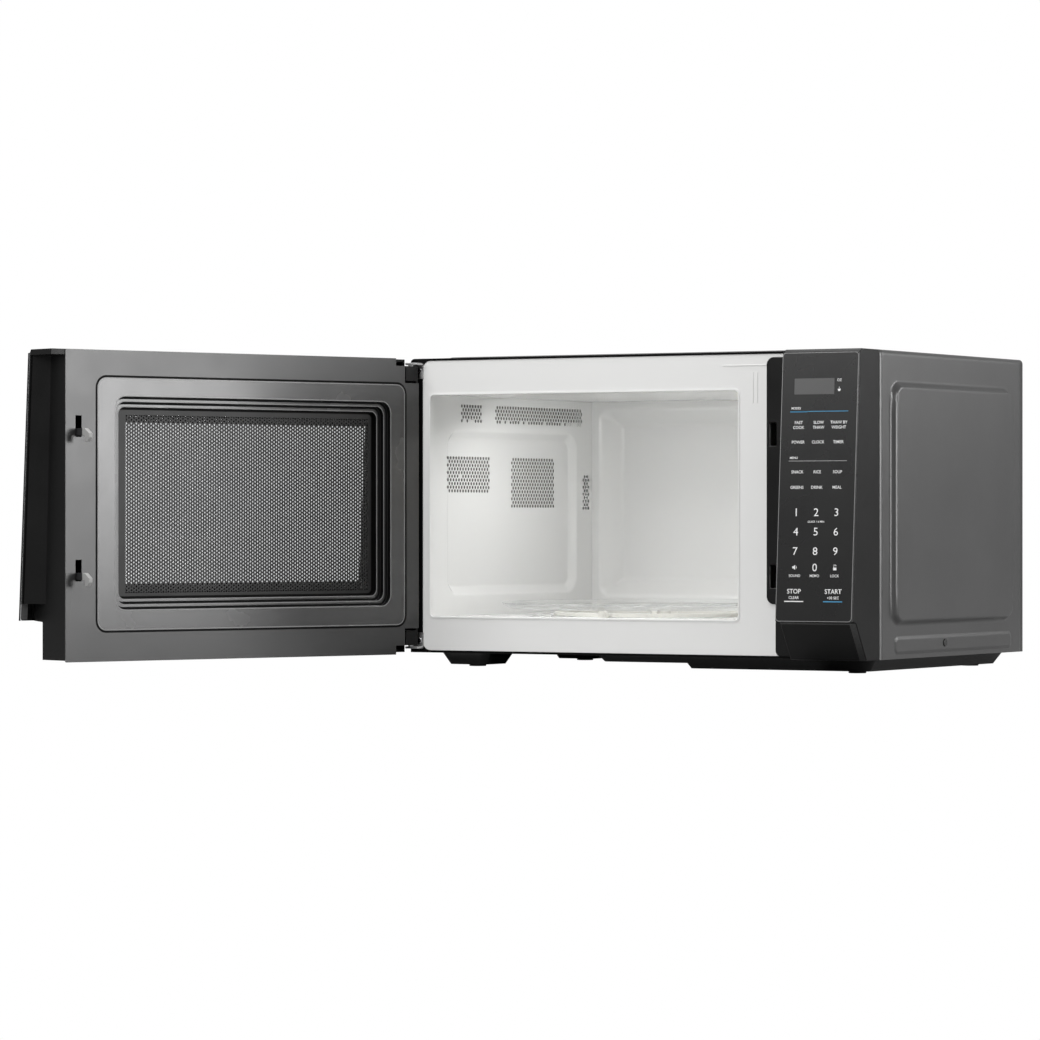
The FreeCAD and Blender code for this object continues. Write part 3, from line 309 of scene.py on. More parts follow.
def ticks(low, high, edges, reach, fine=1.5 * MM, coarse=9.0 * MM):
    """Grid lines from low to high, close together near the edges of pressings."""
    values = [low]
    while values[-1] < high - 1e-6:
        near = any(-reach - coarse < values[-1] - edge < reach for edge in edges)
        values.append(min(values[-1] + (fine if near else coarse), high))
    return values


def sheet_mesh(name, us, vs, place):
    """Grid over us x vs, one point from place(u, v) for each crossing."""
    verts = [place(u, v) for u in us for v in vs]
    rows = len(vs)
    faces = []
    for i in range(len(us) - 1):
        for j in range(rows - 1):
            a = i * rows + j
            faces.append((a, a + rows, a + rows + 1, a + 1))
    mesh = bpy.data.meshes.new(name)
    mesh.from_pydata(verts, [], faces)
    smooth_mesh(mesh)
    return mesh


def thicken(obj, thickness, offset):
    solid = obj.modifiers.new("thickness", "SOLIDIFY")
    solid.thickness = thickness
    solid.offset = offset
    solid.use_even_offset = False


def cut_with(obj, cutter_mesh):
    """Subtract a closed mesh and apply the result."""
    cutter = bpy.data.objects.new("cutter", cutter_mesh)
    bpy.context.scene.collection.objects.link(cutter)
    cut = obj.modifiers.new("holes", "BOOLEAN")
    cut.operation = "DIFFERENCE"
    cut.solver = "FAST"
    cut.object = cutter
    graph = bpy.context.evaluated_depsgraph_get()
    mesh = bpy.data.meshes.new_from_object(obj.evaluated_get(graph))
    obj.modifiers.clear()
    obj.data = mesh
    bpy.data.objects.remove(cutter)
    normals = obj.modifiers.new("normals", "WEIGHTED_NORMAL")
    normals.weight = 100


def prism_mesh(name, outlines, axis, low, high):
    """Closed prisms from 2-D outlines, along axis 0, 1 or 2, from low to high."""
    shape = bmesh.new()
    others = [i for i in range(3) if i != axis]
    for outline in outlines:
        rings = []
        for level in (low, high):
            ring = []
            for point in outline:
                place = [0.0, 0.0, 0.0]
                place[axis] = level
                place[others[0]], place[others[1]] = point
                ring.append(shape.verts.new(place))
            rings.append(ring)
        count = len(outline)
        shape.faces.new(rings[0])
        shape.faces.new(rings[1][::-1])
        for i in range(count):
            k = (i + 1) % count
            shape.faces.new((rings[0][k], rings[0][i], rings[1][i], rings[1][k]))
    bmesh.ops.recalc_face_normals(shape, faces=shape.faces)
    mesh = bpy.data.meshes.new(name)
    shape.to_mesh(mesh)
    shape.free()
    return mesh


def bridge(shape, ring, other):
    """Quads between two closed rings of as many vertices."""
    count = len(ring)
    for i in range(count):
        j = (i + 1) % count
        shape.faces.new((ring[i], ring[j], other[j], other[i]))


def disc(u, v, r, sides):
    return [(u + r * math.cos(2 * math.pi * i / sides), v + r * math.sin(2 * math.pi * i / sides))
            for i in range(sides)]


def round_outline(u0, u1, v0, v1, r, steps=6):
    points = []
    for cu, cv, start in ((u1 - r, v1 - r, 0), (u0 + r, v1 - r, 90), (u0 + r, v0 + r, 180), (u1 - r, v0 + r, 270)):
        for i in range(steps + 1):
            a = math.radians(start + 90.0 * i / steps)
            points.append((cu + r * math.cos(a), cv + r * math.sin(a)))
    return points


# Cabinet

COVER = {"r": 4.0 * MM, "out": 5.0 * MM, "top_up": 1.8 * MM}


def cover_skin():
    """The wrap of painted sheet with its soft pressed panels, as one bent sheet."""
    low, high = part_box("outer_cover")
    bottom, top = low.z, high.z - COVER["top_up"]
    r = COVER["r"]
    side_h = top - r - bottom
    arc = math.pi / 2 * r
    across = RIGHT - LEFT - 2 * r
    total = 2 * side_h + 2 * arc + across
    side = (FRONT + 22.7 * MM, REAR - 27.7 * MM, 43.6 * MM, top - 28.5 * MM)
    strip = (FRONT + 32 * MM, FRONT + 286 * MM, 17.8 * MM, 32.2 * MM)
    lid = (LEFT + 20 * MM, RIGHT - 20 * MM, FRONT + 20 * MM, REAR - 20 * MM)

    def profile(s):
        """Point and outward normal at distance s along the wrap from the lower left edge."""
        if s <= side_h:
            return Vector((LEFT, 0, bottom + s)), Vector((-1, 0, 0))
        if s <= side_h + arc:
            a = (s - side_h) / r
            n = Vector((-math.cos(a), 0, math.sin(a)))
            return Vector((LEFT + r, 0, top - r)) + n * r, n
        if s <= side_h + arc + across:
            return Vector((LEFT + r + s - side_h - arc, 0, top)), Vector((0, 0, 1))
        if s <= total - side_h:
            a = (s - side_h - arc - across) / r
            n = Vector((math.sin(a), 0, math.cos(a)))
            return Vector((RIGHT - r, 0, top - r)) + n * r, n
        return Vector((RIGHT, 0, bottom + total - s)), Vector((1, 0, 0))

    def place(s, y):
        point, normal = profile(s)
        rise = 0.0
        if abs(normal.x) > 0.99:
            rise = press(y, point.z, side, 16 * MM, 4.5 * MM, COVER["out"])
            rise += press(y, point.z, strip, 5 * MM, 1.2 * MM, 0.8 * MM)
        elif normal.z > 0.99:
            rise = press(point.x, y, lid, 14 * MM, 7 * MM, COVER["top_up"])
        point = point + normal * rise
        return Vector((point.x, y, point.z))

    s_edges = []
    for z in side[2:] + strip[2:]:
        s_edges += [z - bottom, total - (z - bottom)]
    s_edges += [side_h + arc / 2, total - side_h - arc / 2]
    s_edges += [side_h + arc + x - LEFT - r for x in lid[:2]]
    us = ticks(0, total, s_edges, 9 * MM)
    vs = ticks(FRONT, REAR, side[:2] + strip[:2] + lid[2:], 10 * MM)
    mesh = sheet_mesh("cover_skin", us, vs, place)
    obj = add_piece("cover_skin", mesh, BODY, FINISH["cover_black"])
    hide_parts("outer_cover")
    thicken(obj, SHEET, -1.0)
    return obj


VENT = {"pitch": 5.08 * MM, "row": 3.5 * MM, "r": 1.7 * MM, "sides": 10}
# Each field: depth of its first hole, height of its lowest row, columns, rows, shift of the first row
VENT_FIELDS = [
    (59.0, 232.8, 8, 5, 0),
    (123.0, 232.8, 34, 5, 1),
    (32.5, 165.8, 18, 10, 1),
    (163.0, 151.6, 17, 14, 0),
    (294.5, 149.8, 3, 10, 0),
]


def vent_centres():
    for depth, low, columns, rows, first in VENT_FIELDS:
        for row in range(rows):
            odd = (row + first) % 2
            for column in range(columns - odd):
                y = FRONT + depth * MM + (column + 0.5 * odd) * VENT["pitch"]
                yield y, low * MM + row * VENT["row"]


def left_wall_skin():
    low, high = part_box("cavity_left_wall")
    inner = high.x
    rect = (FRONT + 31.5 * MM, FRONT + 281.5 * MM, 66 * MM, 224 * MM)

    def place(y, z):
        return Vector((inner - press(y, z, rect, 18 * MM, 9 * MM, 5.6 * MM), y, z))

    us = ticks(low.y, high.y, rect[:2], 14 * MM, 1.2 * MM)
    vs = ticks(low.z, high.z, rect[2:], 14 * MM, 1.2 * MM)
    mesh = sheet_mesh("left_wall_skin", us, vs, place)
    obj = add_piece("left_wall_skin", mesh, BODY, FINISH["cavity_enamel"])
    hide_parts("cavity_left_wall")
    thicken(obj, SHEET * 0.75, -1.0)
    holes = [disc(y, z, VENT["r"], VENT["sides"]) for y, z in vent_centres()]
    cut_with(obj, prism_mesh("vent_cutters", holes, 0, inner - 12 * MM, inner + 4 * MM))
    return obj


def rear_skin():
    """Back plate with the cavity's soft drawn recess, the vent slots and the gland's hole."""
    low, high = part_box("rear_plate")
    floor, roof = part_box("cavity_floor")[1].z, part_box("cavity_roof")[0].z
    left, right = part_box("cavity_left_wall")[1].x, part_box("cavity_right_wall")[0].x
    inner = low.y
    rect = (left + 7 * MM, right - 7 * MM, floor + 13.8 * MM, roof - 6.1 * MM)

    def place(x, z):
        return Vector((x, inner + press(x, z, rect, 13 * MM, 20 * MM, 18.6 * MM), z))

    us = ticks(low.x, high.x, rect[:2], 26 * MM, 1.2 * MM)
    vs = ticks(low.z, high.z, rect[2:], 26 * MM, 1.2 * MM)
    mesh = sheet_mesh("rear_skin", us, vs, place)
    obj = add_piece("rear_skin", mesh, BODY, FINISH["cavity_enamel"])
    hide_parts("rear_plate")
    thicken(obj, SHEET, -1.0)
    gland_low, gland_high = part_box("cord_gland")
    gland = (gland_low + gland_high) / 2
    holes = [disc(gland.x, gland.z, 8.05 * MM, 32)]
    for column in range(2):
        for row in range(9):
            x0 = LEFT + (384 + 48 * column) * MM
            z0 = (128 + 10 * row) * MM
            holes.append(round_outline(x0, x0 + 40 * MM, z0, z0 + 4 * MM, 1.9 * MM))
    cut_with(obj, prism_mesh("slot_cutters", holes, 1, inner - 5 * MM, inner + 5 * MM))
    return obj


def front_beads():
    """Shallow raised beads pressed into the front plate beside the cavity's upper corners."""
    runs = [(-1, 14, 268.0, 269.2), (333, 382, 277.6, 278.8)]
    outlines = [round_outline(LEFT + a * MM, LEFT + b * MM, c * MM, d * MM, 0.55 * MM) for a, b, c, d in runs]
    outlines += [round_outline(LEFT + x * MM, LEFT + (x + 1.2) * MM, 244 * MM, 272 * MM, 0.55 * MM)
                 for x in (363.0, 367.5)]
    outlines[0] = round_outline(LEFT + 2 * MM, LEFT + 15 * MM, 268.0 * MM, 269.2 * MM, 0.55 * MM)
    mesh = prism_mesh("front_beads", outlines, 1, FRONT - 0.35 * MM, FRONT + 0.1 * MM)
    obj = add_piece("front_beads", mesh, BODY, FINISH["cavity_enamel"])
    bevel = obj.modifiers.new("bevel", "BEVEL")
    bevel.width = 0.3 * MM
    bevel.segments = 2
    return obj


def front_ring(name, outer, inner, r_out, r_in, proud, material):
    """Rounded frame (x0, x1, z0, z1) that stands a little proud of the front plate."""
    shape = bmesh.new()
    rings = []
    for rect, r, y in ((outer, r_out, 0.1), (outer, r_out, -proud), (inner, r_in, -proud), (inner, r_in, 0.1)):
        rings.append([shape.verts.new((x, FRONT + y * MM, z)) for x, z in round_outline(*rect, r * MM)])
    for ring, other in zip(rings, rings[1:]):
        bridge(shape, ring, other)
    bmesh.ops.recalc_face_normals(shape, faces=shape.faces)
    mesh = bpy.data.meshes.new(name)
    shape.to_mesh(mesh)
    shape.free()
    return add_piece(name, mesh, BODY, material)


def front_edges():
    """A near-black band round the front plate, about 2 mm wide and widened to 13.5 mm on the hinge side, and the
    rolled rim of the cavity's mouth.
    """
    top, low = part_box("outer_cover")[1].z - COVER["top_up"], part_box("outer_cover")[0].z
    outer = (LEFT + 0.1 * MM, RIGHT - 0.1 * MM, low + 0.1 * MM, top - 0.1 * MM)
    inner = (LEFT + 13.5 * MM, RIGHT - 2 * MM, low + 2.2 * MM, top - 2.2 * MM)
    front_ring("cover_lip", outer, inner, 4, 8, 0.45, PRINT_INK_AND_PAINTED_SHADE)
    floor_z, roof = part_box("cavity_floor")[1].z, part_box("cavity_roof")[0].z
    left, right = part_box("cavity_left_wall")[1].x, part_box("cavity_right_wall")[0].x
    mouth = (left, right, floor_z, roof)
    wide, tight = 1.3 * MM, 0.5 * MM
    outer = (mouth[0] - wide, mouth[1] + wide, mouth[2] - wide, mouth[3] + wide)
    inner = (mouth[0] + tight, mouth[1] - tight, mouth[2] + tight, mouth[3] - tight)
    rim = front_ring("mouth_rim", outer, inner, 4.8, 4, 0.5, FINISH["cavity_enamel"])
    bevel = rim.modifiers.new("bevel", "BEVEL")
    bevel.width = 0.35 * MM
    bevel.segments = 2


# Door

SCREEN = {"a": 5.4 * MM, "b": 1.67 * MM, "hole": 1.02 * MM}


def screen_mesh():
    """Perforated sheet: hexagonal cells on a staggered lattice, each with a round-ish hole."""
    low, high = shut_box("door_screen")
    a, b = SCREEN["a"], SCREEN["b"]
    near, far = high.y, low.y
    field = (low.x + 13 * MM, high.x - 13 * MM, low.z + 12 * MM, high.z - 12 * MM)
    columns = int((field[1] - field[0]) / (a / 2))
    rows = int((field[3] - field[2]) / b)
    half = (0.834 * MM, 1.867 * MM)
    cell = [(half[1], 0), (half[0], b), (-half[0], b), (-half[1], 0), (-half[0], -b), (half[0], -b)]
    shape = bmesh.new()
    corners = {}

    def corner(x, z, y):
        key = (round(x * 1e6 / 20), round(z * 1e6 / 20), y)
        if key not in corners:
            corners[key] = shape.verts.new((x, y, z))
        return corners[key]

    for column in range(columns):
        for row in range(column % 2, rows, 2):
            x, z = field[0] + column * a / 2, field[2] + row * b
            outer = [corner(x + du, z + dv, near) for du, dv in cell]
            rim, back = [], []
            for du, dv in cell:
                k = SCREEN["hole"] / math.hypot(du, dv)
                rim.append(shape.verts.new((x + du * k, near, z + dv * k)))
                back.append(shape.verts.new((x + du * k, far, z + dv * k)))
            for i in range(6):
                j = (i + 1) % 6
                shape.faces.new((outer[i], outer[j], rim[j], rim[i]))
                shape.faces.new((rim[i], rim[j], back[j], back[i]))
    x_end = field[0] + (columns - 1) * a / 2
    z_end = field[2] + (rows - 1) * b
    edge = (field[0] - a / 4, x_end + a / 4, field[2] - b / 2, z_end + b / 2)
    borders = [
        (low.x, edge[0], low.z, high.z), (edge[1], high.x, low.z, high.z),
        (edge[0], edge[1], low.z, edge[2]), (edge[0], edge[1], edge[3], high.z),
    ]
    for x0, x1, z0, z1 in borders:
        ring = [(x0, z0), (x1, z0), (x1, z1), (x0, z1)]
        shape.faces.new([shape.verts.new((x, near - 0.02 * MM, z)) for x, z in ring])
        shape.faces.new([shape.verts.new((x, far, z)) for x, z in reversed(ring)])
    mesh = bpy.data.meshes.new("door_screen_mesh")
    shape.to_mesh(mesh)
    shape.free()
    mesh.transform(TO_OPEN)
    return mesh


def door_screen_piece():
    obj = add_piece("perforated_screen", screen_mesh(), "door", SCREEN_GREY)
    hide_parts("door_screen")
    return obj


def door_ring(name, outer, inner, material):
    """Band between two closed loops of (x, y, z) points drawn on the shut door."""
    shape = bmesh.new()
    bridge(shape, *[[shape.verts.new(point) for point in loop] for loop in (outer, inner)])
    mesh = bpy.data.meshes.new(name)
    shape.to_mesh(mesh)
    shape.free()
    mesh.transform(TO_OPEN)
    return add_piece(name, mesh, "door", material)


def flat_loop(rect, grow, r, y):
    x0, x1, z0, z1 = rect
    return [(x, y, z) for x, z in round_outline(x0 - grow, x1 + grow, z0 - grow, z1 + grow, r + grow)]


def choke_lines():
    """Painted shade and highlights on the door's inner face: a black ring for the shaded groove round the choke
    cover with a light line beside it, and black walls and feet with light edge lines on the window's steps.
    """
    low, high = shut_box("door_screen")
    face = shut_box("door_inner_panel")[1].y
    screen = (low.x, high.x, low.z, high.z)
    cover_low, cover_high = shut_box("door_choke_cover")
    lap = 3.0 * MM
    hole = (cover_low.x + lap, cover_high.x - lap, cover_low.z + lap, cover_high.z - lap)
    y, r = face + 0.06 * MM, 10.5 * MM
    # Painted shadow: a flat black ring where the groove round the choke cover falls into shade, then a painted
    # highlight ring beside it.
    door_ring("choke_painted_shadow", flat_loop(hole, 0.8 * MM, r, y), flat_loop(hole, -1.2 * MM, r, y),
              PRINT_INK_AND_PAINTED_SHADE)
    door_ring("choke_painted_highlight", flat_loop(hole, -1.2 * MM, r, y), flat_loop(hole, -2.2 * MM, r, y),
              PAINTED_HIGHLIGHT_GREY)
    depth, steps, slope = face - high.y, 3, 14.0 * MM
    for k in range(steps):
        grow = slope * (steps - 1 - k) / steps - 6.0 * MM
        r = (10.5 - 2 * k) * MM - grow
        near, far = face - depth * k / steps, face - depth * (k + 1) / steps
        # Painted shade on each step's wall and foot, and a painted highlight along its upper edge.
        door_ring("step_wall_%d" % k, flat_loop(screen, grow - 0.08 * MM, r, near),
                  flat_loop(screen, grow - 0.08 * MM, r, far + 0.05 * MM), PRINT_INK_AND_PAINTED_SHADE)
        door_ring("step_edge_%d" % k, flat_loop(screen, grow + 0.9 * MM, r, near + 0.06 * MM),
                  flat_loop(screen, grow - 0.02 * MM, r, near + 0.06 * MM), PAINTED_HIGHLIGHT_GREY)
        door_ring("step_foot_%d" % k, flat_loop(screen, grow - 0.1 * MM, r, far + 0.06 * MM),
                  flat_loop(screen, grow - 2.3 * MM, r, far + 0.06 * MM), PRINT_INK_AND_PAINTED_SHADE)


def glass_border():
    """Black print on the back of the door's glass, round the clear window."""
    low, high = shut_box("door_glass")
    lean = (high.y - low.y - GLASS_T) / (high.z - low.z)
    frame_low, frame_high = shut_box("door_screen")
    outer = (low.x + 0.3 * MM, high.x - 0.3 * MM, low.z + 0.3 * MM, high.z - 0.3 * MM)
    inner = (frame_low.x - 14 * MM, frame_high.x - 17 * MM, frame_low.z + 19 * MM, frame_high.z - 19 * MM)
    loops = [round_outline(*outer, 2 * MM), round_outline(*inner, 6 * MM)]
    shape = bmesh.new()
    rings = []
    for loop in loops:
        rings.append([shape.verts.new((x, low.y + GLASS_T - 0.08 * MM + (z - low.z) * lean, z)) for x, z in loop])
    bridge(shape, *rings)
    mesh = bpy.data.meshes.new("glass_border")
    shape.to_mesh(mesh)
    shape.free()
    mesh.transform(TO_OPEN)
    add_piece("glass_border", mesh, "door", PRINT_INK_AND_PAINTED_SHADE)
    # A lighter grey strip, 7 mm wide, on the back of the glass along the door's free edge.
    free_edge = high.x - 0.3 * MM
    back = low.y + GLASS_T + 0.05 * MM
    shape = bmesh.new()
    ends = [(free_edge - 7 * MM, low.z + 1 * MM), (free_edge, low.z + 1 * MM),
            (free_edge, high.z - 1 * MM), (free_edge - 7 * MM, high.z - 1 * MM)]
    shape.faces.new([shape.verts.new((x, back + (z - low.z) * lean, z)) for x, z in ends])
    mesh = bpy.data.meshes.new("glass_edge_back")
    shape.to_mesh(mesh)
    shape.free()
    mesh.transform(TO_OPEN)
    return add_piece("glass_edge_back", mesh, "door", GLASS_BACK)


# Control panel print

panel_low, panel_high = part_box("control_panel_glass")
LEAN = (panel_high.y - GLASS_T - panel_low.y) / (panel_high.z - panel_low.z)


def on_panel(u, z, lift):
    """Place on the tilted glass: u mm from its left edge, at height z in metres, lifted off the face."""
    y = panel_low.y + (z - panel_low.z) * LEAN
    return Vector((panel_low.x + u * MM, y - lift, z))


def panel_outlines(name, outlines, lift, material):
    """Thin flat print from outlines in (u mm, z mm)."""
    shape = bmesh.new()
    for outline in outlines:
        shape.faces.new([shape.verts.new(on_panel(u, z * MM, lift)) for u, z in outline])
    bmesh.ops.triangulate(shape, faces=shape.faces)
    mesh = bpy.data.meshes.new(name)
    shape.to_mesh(mesh)
    shape.free()
    return add_piece(name, mesh, BODY, material)


def text_mesh(text, u, z, cap, spread, weight):
    """Mesh of a word centred on (u, z), with capitals cap mm high, in panel millimetres."""
    curve = bpy.data.curves.new("word", "FONT")
    curve.body = text
    curve.size = 10.0
    curve.offset = weight
    curve.resolution_u = 3
    word = bpy.data.objects.new("word", curve)
    bpy.context.scene.collection.objects.link(word)
    bpy.context.view_layer.update()
    graph = bpy.context.evaluated_depsgraph_get()
    mesh = bpy.data.meshes.new_from_object(word.evaluated_get(graph))
    bpy.data.objects.remove(word)
    xs = [v.co.x for v in mesh.vertices]
    ys = [v.co.y for v in mesh.vertices]
    k = cap / (max(ys) - min(ys))
    cx, cy = (max(xs) + min(xs)) / 2, (max(ys) + min(ys)) / 2
    for v in mesh.vertices:
        v.co = on_panel(u + (v.co.x - cx) * k * spread, (z + (v.co.y - cy) * k) * MM, 0.06 * MM)
    return mesh


COLUMNS = (18.0, 37.7, 57.6)
SMALL, LABEL, DIGIT, KEY = 2.1, 2.7, 6.9, 4.2


def words():
    """Every printed word as (text, u, z, capital height)."""
    rows = [
        (224.6, LABEL, ("FAST", "SLOW", "THAW BY")), (220.2, LABEL, ("COOK", "THAW", "WEIGHT")),
        (207.2, LABEL, ("POWER", "CLOCK", "TIMER")),
        (180.7, LABEL, ("SNACK", "RICE", "SOUP")),
        (167.0, LABEL, ("GREENS", "DRINK", "MEAL")),
        (144.9, DIGIT, "123"), (127.7, DIGIT, "456"), (110.4, DIGIT, "789"),
        (88.6, 2.4, ("SOUND", "MEMO", "LOCK")),
    ]
    for z, cap, row in rows:
        for text, u in zip(row, COLUMNS):
            yield text, u, z, cap
    yield "0", COLUMNS[1], 96.0, DIGIT
    yield "MODES", 15.0, 237.3, SMALL
    yield "MENU", 14.0, 193.2, SMALL
    yield "QUICK 1-6 MIN", COLUMNS[1], 136.4, SMALL
    yield "STOP", 17.9, 74.8, KEY
    yield "CLEAR", 17.9, 69.2, 2.5
    yield "START", 56.6, 74.8, KEY
    yield "+30 SEC", 56.6, 69.2, 2.5
    yield "OZ", 57.0, 262.0, 2.3


def legends():
    """All words as one mesh; digits are set in a lighter weight than the labels."""
    shape = bmesh.new()
    for text, u, z, cap in words():
        digit = cap == DIGIT
        mesh = text_mesh(text, u, z, cap, 1.05 if digit else 0.98, 0.0 if digit else 0.1)
        shape.from_mesh(mesh)
        bpy.data.meshes.remove(mesh)
    mesh = bpy.data.meshes.new("panel_words")
    shape.to_mesh(mesh)
    shape.free()
    add_piece("panel_words", mesh, BODY, WHITE_INK)


def painted_panel_rim_highlight():
    """Painted highlight: a light strip along the edge of the panel's glass, where the edge catches the light."""
    low, high = panel_low.z / MM, panel_high.z / MM
    wide = (panel_high.x - panel_low.x) / MM
    shape = bmesh.new()
    rings = []
    for inset in (0.15, 0.7):
        outline = round_outline(inset, wide - inset, low + inset, high - inset, 3.5 - inset)
        rings.append([shape.verts.new(on_panel(u, z * MM, 0.05 * MM)) for u, z in outline])
    bridge(shape, *rings)
    mesh = bpy.data.meshes.new("painted_panel_rim_highlight")
    shape.to_mesh(mesh)
    shape.free()
    add_piece("painted_panel_rim_highlight", mesh, BODY, PANEL_RIM_HIGHLIGHT)


def painted_chin_shadow():
    """Painted shadow in gloss black on the chin: a band under the glass's overhang and a strip down its right
    side, where the chin's side facet is in shade.
    """
    housing_low, housing_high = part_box("control_panel_housing")
    top_z, low_z = panel_low.z - 1.0 * MM, housing_low.z
    top_y, low_y = FRONT - 46.6 * MM, FRONT - 25.0 * MM

    def on_chin(x, share):
        return Vector((x, top_y + (low_y - top_y) * share - 0.12 * MM, top_z + (low_z - top_z) * share))

    left, right = panel_low.x + 0.5 * MM, housing_high.x - 0.6 * MM
    shape = bmesh.new()
    for x0, x1, a, b in ((left, right, 0.004, 0.045), (right - 6.2 * MM, right, 0.045, 0.996)):
        shape.faces.new([shape.verts.new(on_chin(x, k)) for x, k in ((x0, b), (x1, b), (x1, a), (x0, a))])
    mesh = bpy.data.meshes.new("chin_painted_shadow")
    shape.to_mesh(mesh)
    shape.free()
    # Painted shadow: flat black strips laid on the chin's face.
    add_piece("chin_painted_shadow", mesh, BODY, FINISH["base_black"])


def bar(u0, u1, z, height):
    return [(u0, z - height / 2), (u1, z - height / 2), (u1, z + height / 2), (u0, z + height / 2)]


def icon_outlines():
    """A loudspeaker, a padlock and a cup, as simple closed shapes."""
    u, z = COLUMNS[0], 96.0
    speaker = [(u - 2.4, z - 0.9), (u - 1.2, z - 0.9), (u + 0.4, z - 2.3), (u + 0.4, z + 2.3), (u - 1.2, z + 0.9),
               (u - 2.4, z + 0.9)]
    waves = [[(u + 1.2, z - 1.2), (u + 1.6, z - 1.2), (u + 1.9, z), (u + 1.6, z + 1.2), (u + 1.2, z + 1.2), (u + 1.5, z)]]
    u = COLUMNS[2]
    lock = [bar(u - 1.6, u + 1.6, z - 1.2, 2.4)]
    shackle = [bar(u - 1.2, u - 0.8, z + 1.0, 2.0), bar(u - 1.2, u + 1.2, z + 2.2, 0.4), bar(u + 0.8, u + 1.2, z + 1.5, 1.0)]
    u, z = 57.0, 254.0
    cup = [(u - 1.4, z - 0.4), (u - 0.8, z - 1.9), (u + 0.8, z - 1.9), (u + 1.4, z - 0.4), (u + 1.4, z + 0.2), (u - 1.4, z + 0.2)]
    steam = [bar(u - 0.2, u + 0.2, z + 1.4, 1.5)]
    return [speaker] + waves + lock + shackle + [cup] + steam


def panel_print():
    legends()
    painted_panel_rim_highlight()
    painted_chin_shadow()
    panel_outlines("panel_icons", icon_outlines(), 0.06 * MM, WHITE_INK)
    panel_outlines("panel_white_line", [bar(8.5, 27.3, 65.8, 0.9)], 0.06 * MM, WHITE_INK)
    panel_outlines("panel_grey_lines", [bar(9.0, 66.5, 190.4, 0.5)], 0.06 * MM, GREY_INK)
    blue = [bar(9.2, 66.5, 234.4, 0.6), bar(9.2, 26.0, 234.2, 1.0), bar(47.0, 65.8, 65.8, 0.9)]
    panel_outlines("panel_blue_lines", blue, 0.07 * MM, BLUE_INK)
    display = [round_outline(12.7, 52.2, 249.6, 263.8, 0.8)]
    panel_outlines("display_window", display, 0.05 * MM, DISPLAY_FACE)


# Turntable

def tray_skin():
    """The glass tray turned from a profile, with a soft rim and drip steps."""
    low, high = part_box("turntable_tray")
    cx, cy = (low.x + high.x) / 2, (low.y + high.y) / 2
    bottom = high.z - 6.5 * MM
    r = (high.x - low.x) / 2
    inner = [(0, 3.5), (60, 3.5), (62, 3.1), (64, 3.5), (100, 3.5), (102, 3.1), (104, 3.5)]
    rim = [
        (17, 3.5), (13, 3.9), (8, 5.6), (4, 6.4), (1.5, 6.5), (0.4, 6.1), (0, 5.3), (0.6, 4.0),
        (4, 1.6), (9, 0.3), (14, 0.0),
    ]
    profile = [(a * MM, b) for a, b in inner] + [(r - a * MM, b) for a, b in rim] + [(0, 0.0)]
    steps = 96
    shape = bmesh.new()
    rings = []
    for radius, height in profile:
        if radius == 0:
            rings.append([shape.verts.new((cx, cy, bottom + height * MM))])
            continue
        rings.append([
            shape.verts.new((cx + radius * math.cos(2 * math.pi * i / steps),
                             cy + radius * math.sin(2 * math.pi * i / steps), bottom + height * MM))
            for i in range(steps)
        ])
    for one, two in zip(rings, rings[1:]):
        for i in range(steps):
            j = (i + 1) % steps
            if len(one) == 1:
                shape.faces.new((one[0], two[i], two[j]))
            elif len(two) == 1:
                shape.faces.new((one[j], one[i], two[0]))
            else:
                shape.faces.new((one[i], two[i], two[j], one[j]))
    bmesh.ops.recalc_face_normals(shape, faces=shape.faces)
    mesh = bpy.data.meshes.new("tray_skin")
    shape.to_mesh(mesh)
    shape.free()
    smooth_mesh(mesh)
    obj = add_piece("tray_skin", mesh, "tray", FINISH["clear_glass"])
    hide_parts("turntable_tray")
    return obj


# Stage, light and camera

CAMERA = {"x": 1.9865, "y": -3.7738, "z": 0.138, "azimuth": 30.28, "lens": 155.5}


def camera():
    data = bpy.data.cameras.new("camera")
    data.lens = CAMERA["lens"]
    data.sensor_width = 36.0
    data.clip_end = 50.0
    obj = bpy.data.objects.new("camera", data)
    bpy.context.scene.collection.objects.link(obj)
    obj.location = (CAMERA["x"], CAMERA["y"], CAMERA["z"])
    obj.rotation_euler = (math.radians(90), 0, math.radians(CAMERA["azimuth"]))
    bpy.context.scene.camera = obj


def area_light(name, place, target, size, power, colour=(1, 1, 1)):
    data = bpy.data.lights.new(name, "AREA")
    data.shape = "RECTANGLE"
    data.size, data.size_y = size
    data.energy = power
    data.color = colour
    obj = bpy.data.objects.new(name, data)
    bpy.context.scene.collection.objects.link(obj)
    obj.location = place
    obj.visible_camera = False
    obj.rotation_euler = (Vector(target) - Vector(place)).to_track_quat("-Z", "Y").to_euler()


def seen_directly(nodes, links):
    """1 for what the camera sees straight or through glass, 0 for light and reflections."""
    path = nodes.new("ShaderNodeLightPath")
    seen = nodes.new("ShaderNodeMath")
    seen.operation = "MAXIMUM"
    links.new(path.outputs["Is Camera Ray"], seen.inputs[0])
    links.new(path.outputs["Is Transmission Ray"], seen.inputs[1])
    return seen.outputs["Value"]


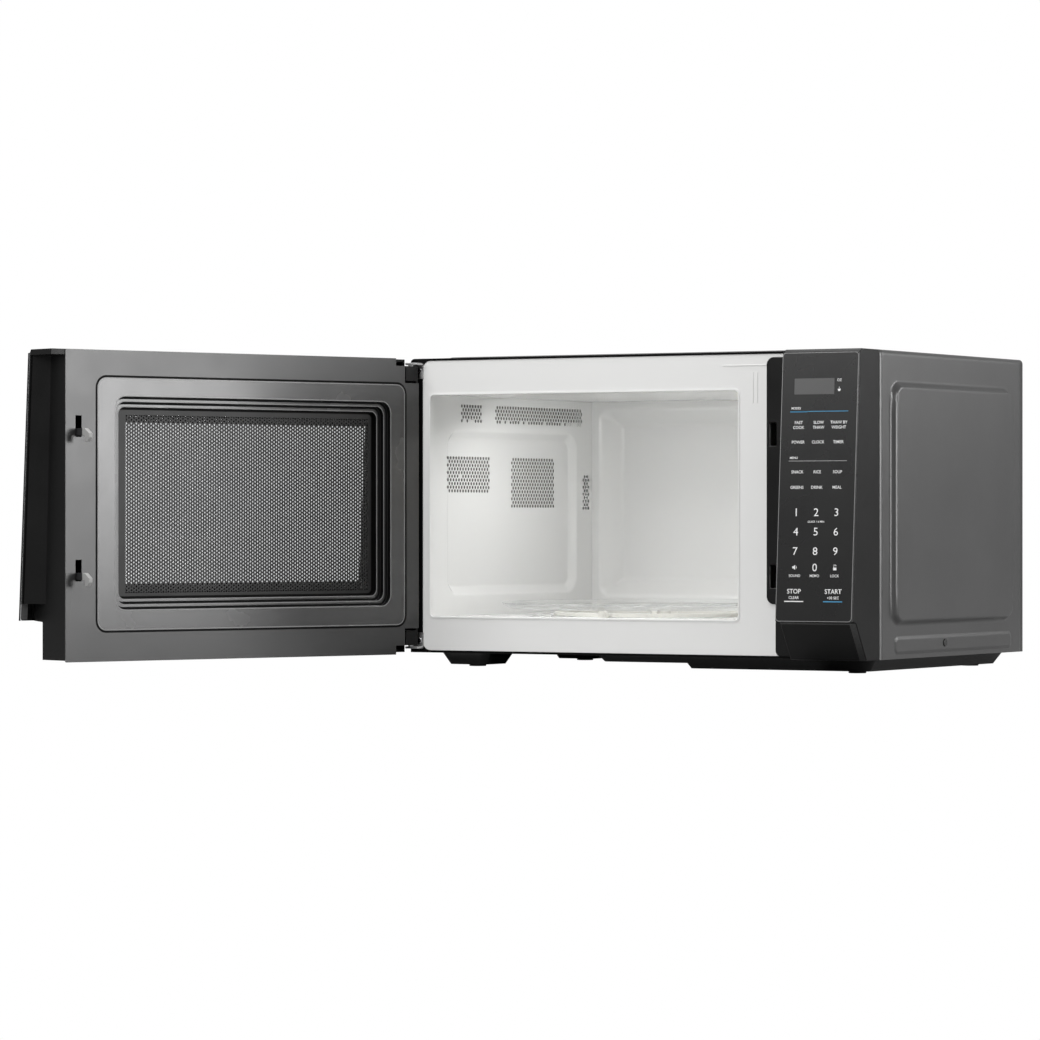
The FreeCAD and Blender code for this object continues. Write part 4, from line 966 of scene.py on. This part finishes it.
def floor():
    """Pale floor that stays as white as the backdrop and throws back little light."""
    material, nodes, links, shader = new_material("stage_floor")
    links.new(ramp(nodes, links, noise(nodes, links, 3.0), 0.3, 0.32), shader.inputs["Base Color"])
    shader.inputs["Roughness"].default_value = 0.7
    glow = nodes.new("ShaderNodeEmission")
    glow.inputs["Strength"].default_value = 1.0
    mix = nodes.new("ShaderNodeMixShader")
    links.new(seen_directly(nodes, links), mix.inputs["Fac"])
    links.new(shader.outputs["BSDF"], mix.inputs[1])
    links.new(glow.outputs["Emission"], mix.inputs[2])
    links.new(mix.outputs["Shader"], nodes["Material Output"].inputs["Surface"])
    shape = bmesh.new()
    bmesh.ops.create_grid(shape, x_segments=1, y_segments=1, size=14.0)
    mesh = bpy.data.meshes.new("floor")
    shape.to_mesh(mesh)
    shape.free()
    obj = bpy.data.objects.new("floor", mesh)
    bpy.context.scene.collection.objects.link(obj)
    paint(obj, material)


def studio():
    world = bpy.data.worlds.new("studio")
    world.use_nodes = True
    nodes, links = world.node_tree.nodes, world.node_tree.links
    light = nodes["Background"]
    light.inputs["Color"].default_value = (1, 1, 1, 1)
    light.inputs["Strength"].default_value = 0.34
    sweep = nodes.new("ShaderNodeBackground")
    sweep.inputs["Color"].default_value = (1, 1, 1, 1)
    sweep.inputs["Strength"].default_value = 1.0
    mix = nodes.new("ShaderNodeMixShader")
    links.new(seen_directly(nodes, links), mix.inputs["Fac"])
    links.new(light.outputs["Background"], mix.inputs[1])
    links.new(sweep.outputs["Background"], mix.inputs[2])
    links.new(mix.outputs["Shader"], nodes["World Output"].inputs["Surface"])
    bpy.context.scene.world = world
    bpy.context.scene.view_settings.view_transform = "Standard"
    area_light("top", (-0.2, -0.5, 2.0), (0, 0, 0.15), (1.6, 1.2), 46)
    area_light("right_softbox", (2.0, -0.05, 0.5), (-0.35, -0.45, 0.15), (0.7, 0.9), 20)
    area_light("rear_softbox", (1.7, 1.8, 0.7), (0.25, 0, 0.15), (0.6, 0.7), 7)
    area_light("front_fill", (-0.5, -1.7, 1.0), (-0.05, 0.1, 0.2), (1.2, 0.7), 14)
    area_light("cavity_lamp", (-0.06, -0.06, 0.252), (-0.06, 0.0, 0.05), (0.2, 0.12), 0.62)


finish_nodes()
cover_skin()
left_wall_skin()
rear_skin()
front_beads()
front_edges()
door_screen_piece()
glass_border()
choke_lines()
panel_print()
tray_skin()
camera()
floor()
studio()
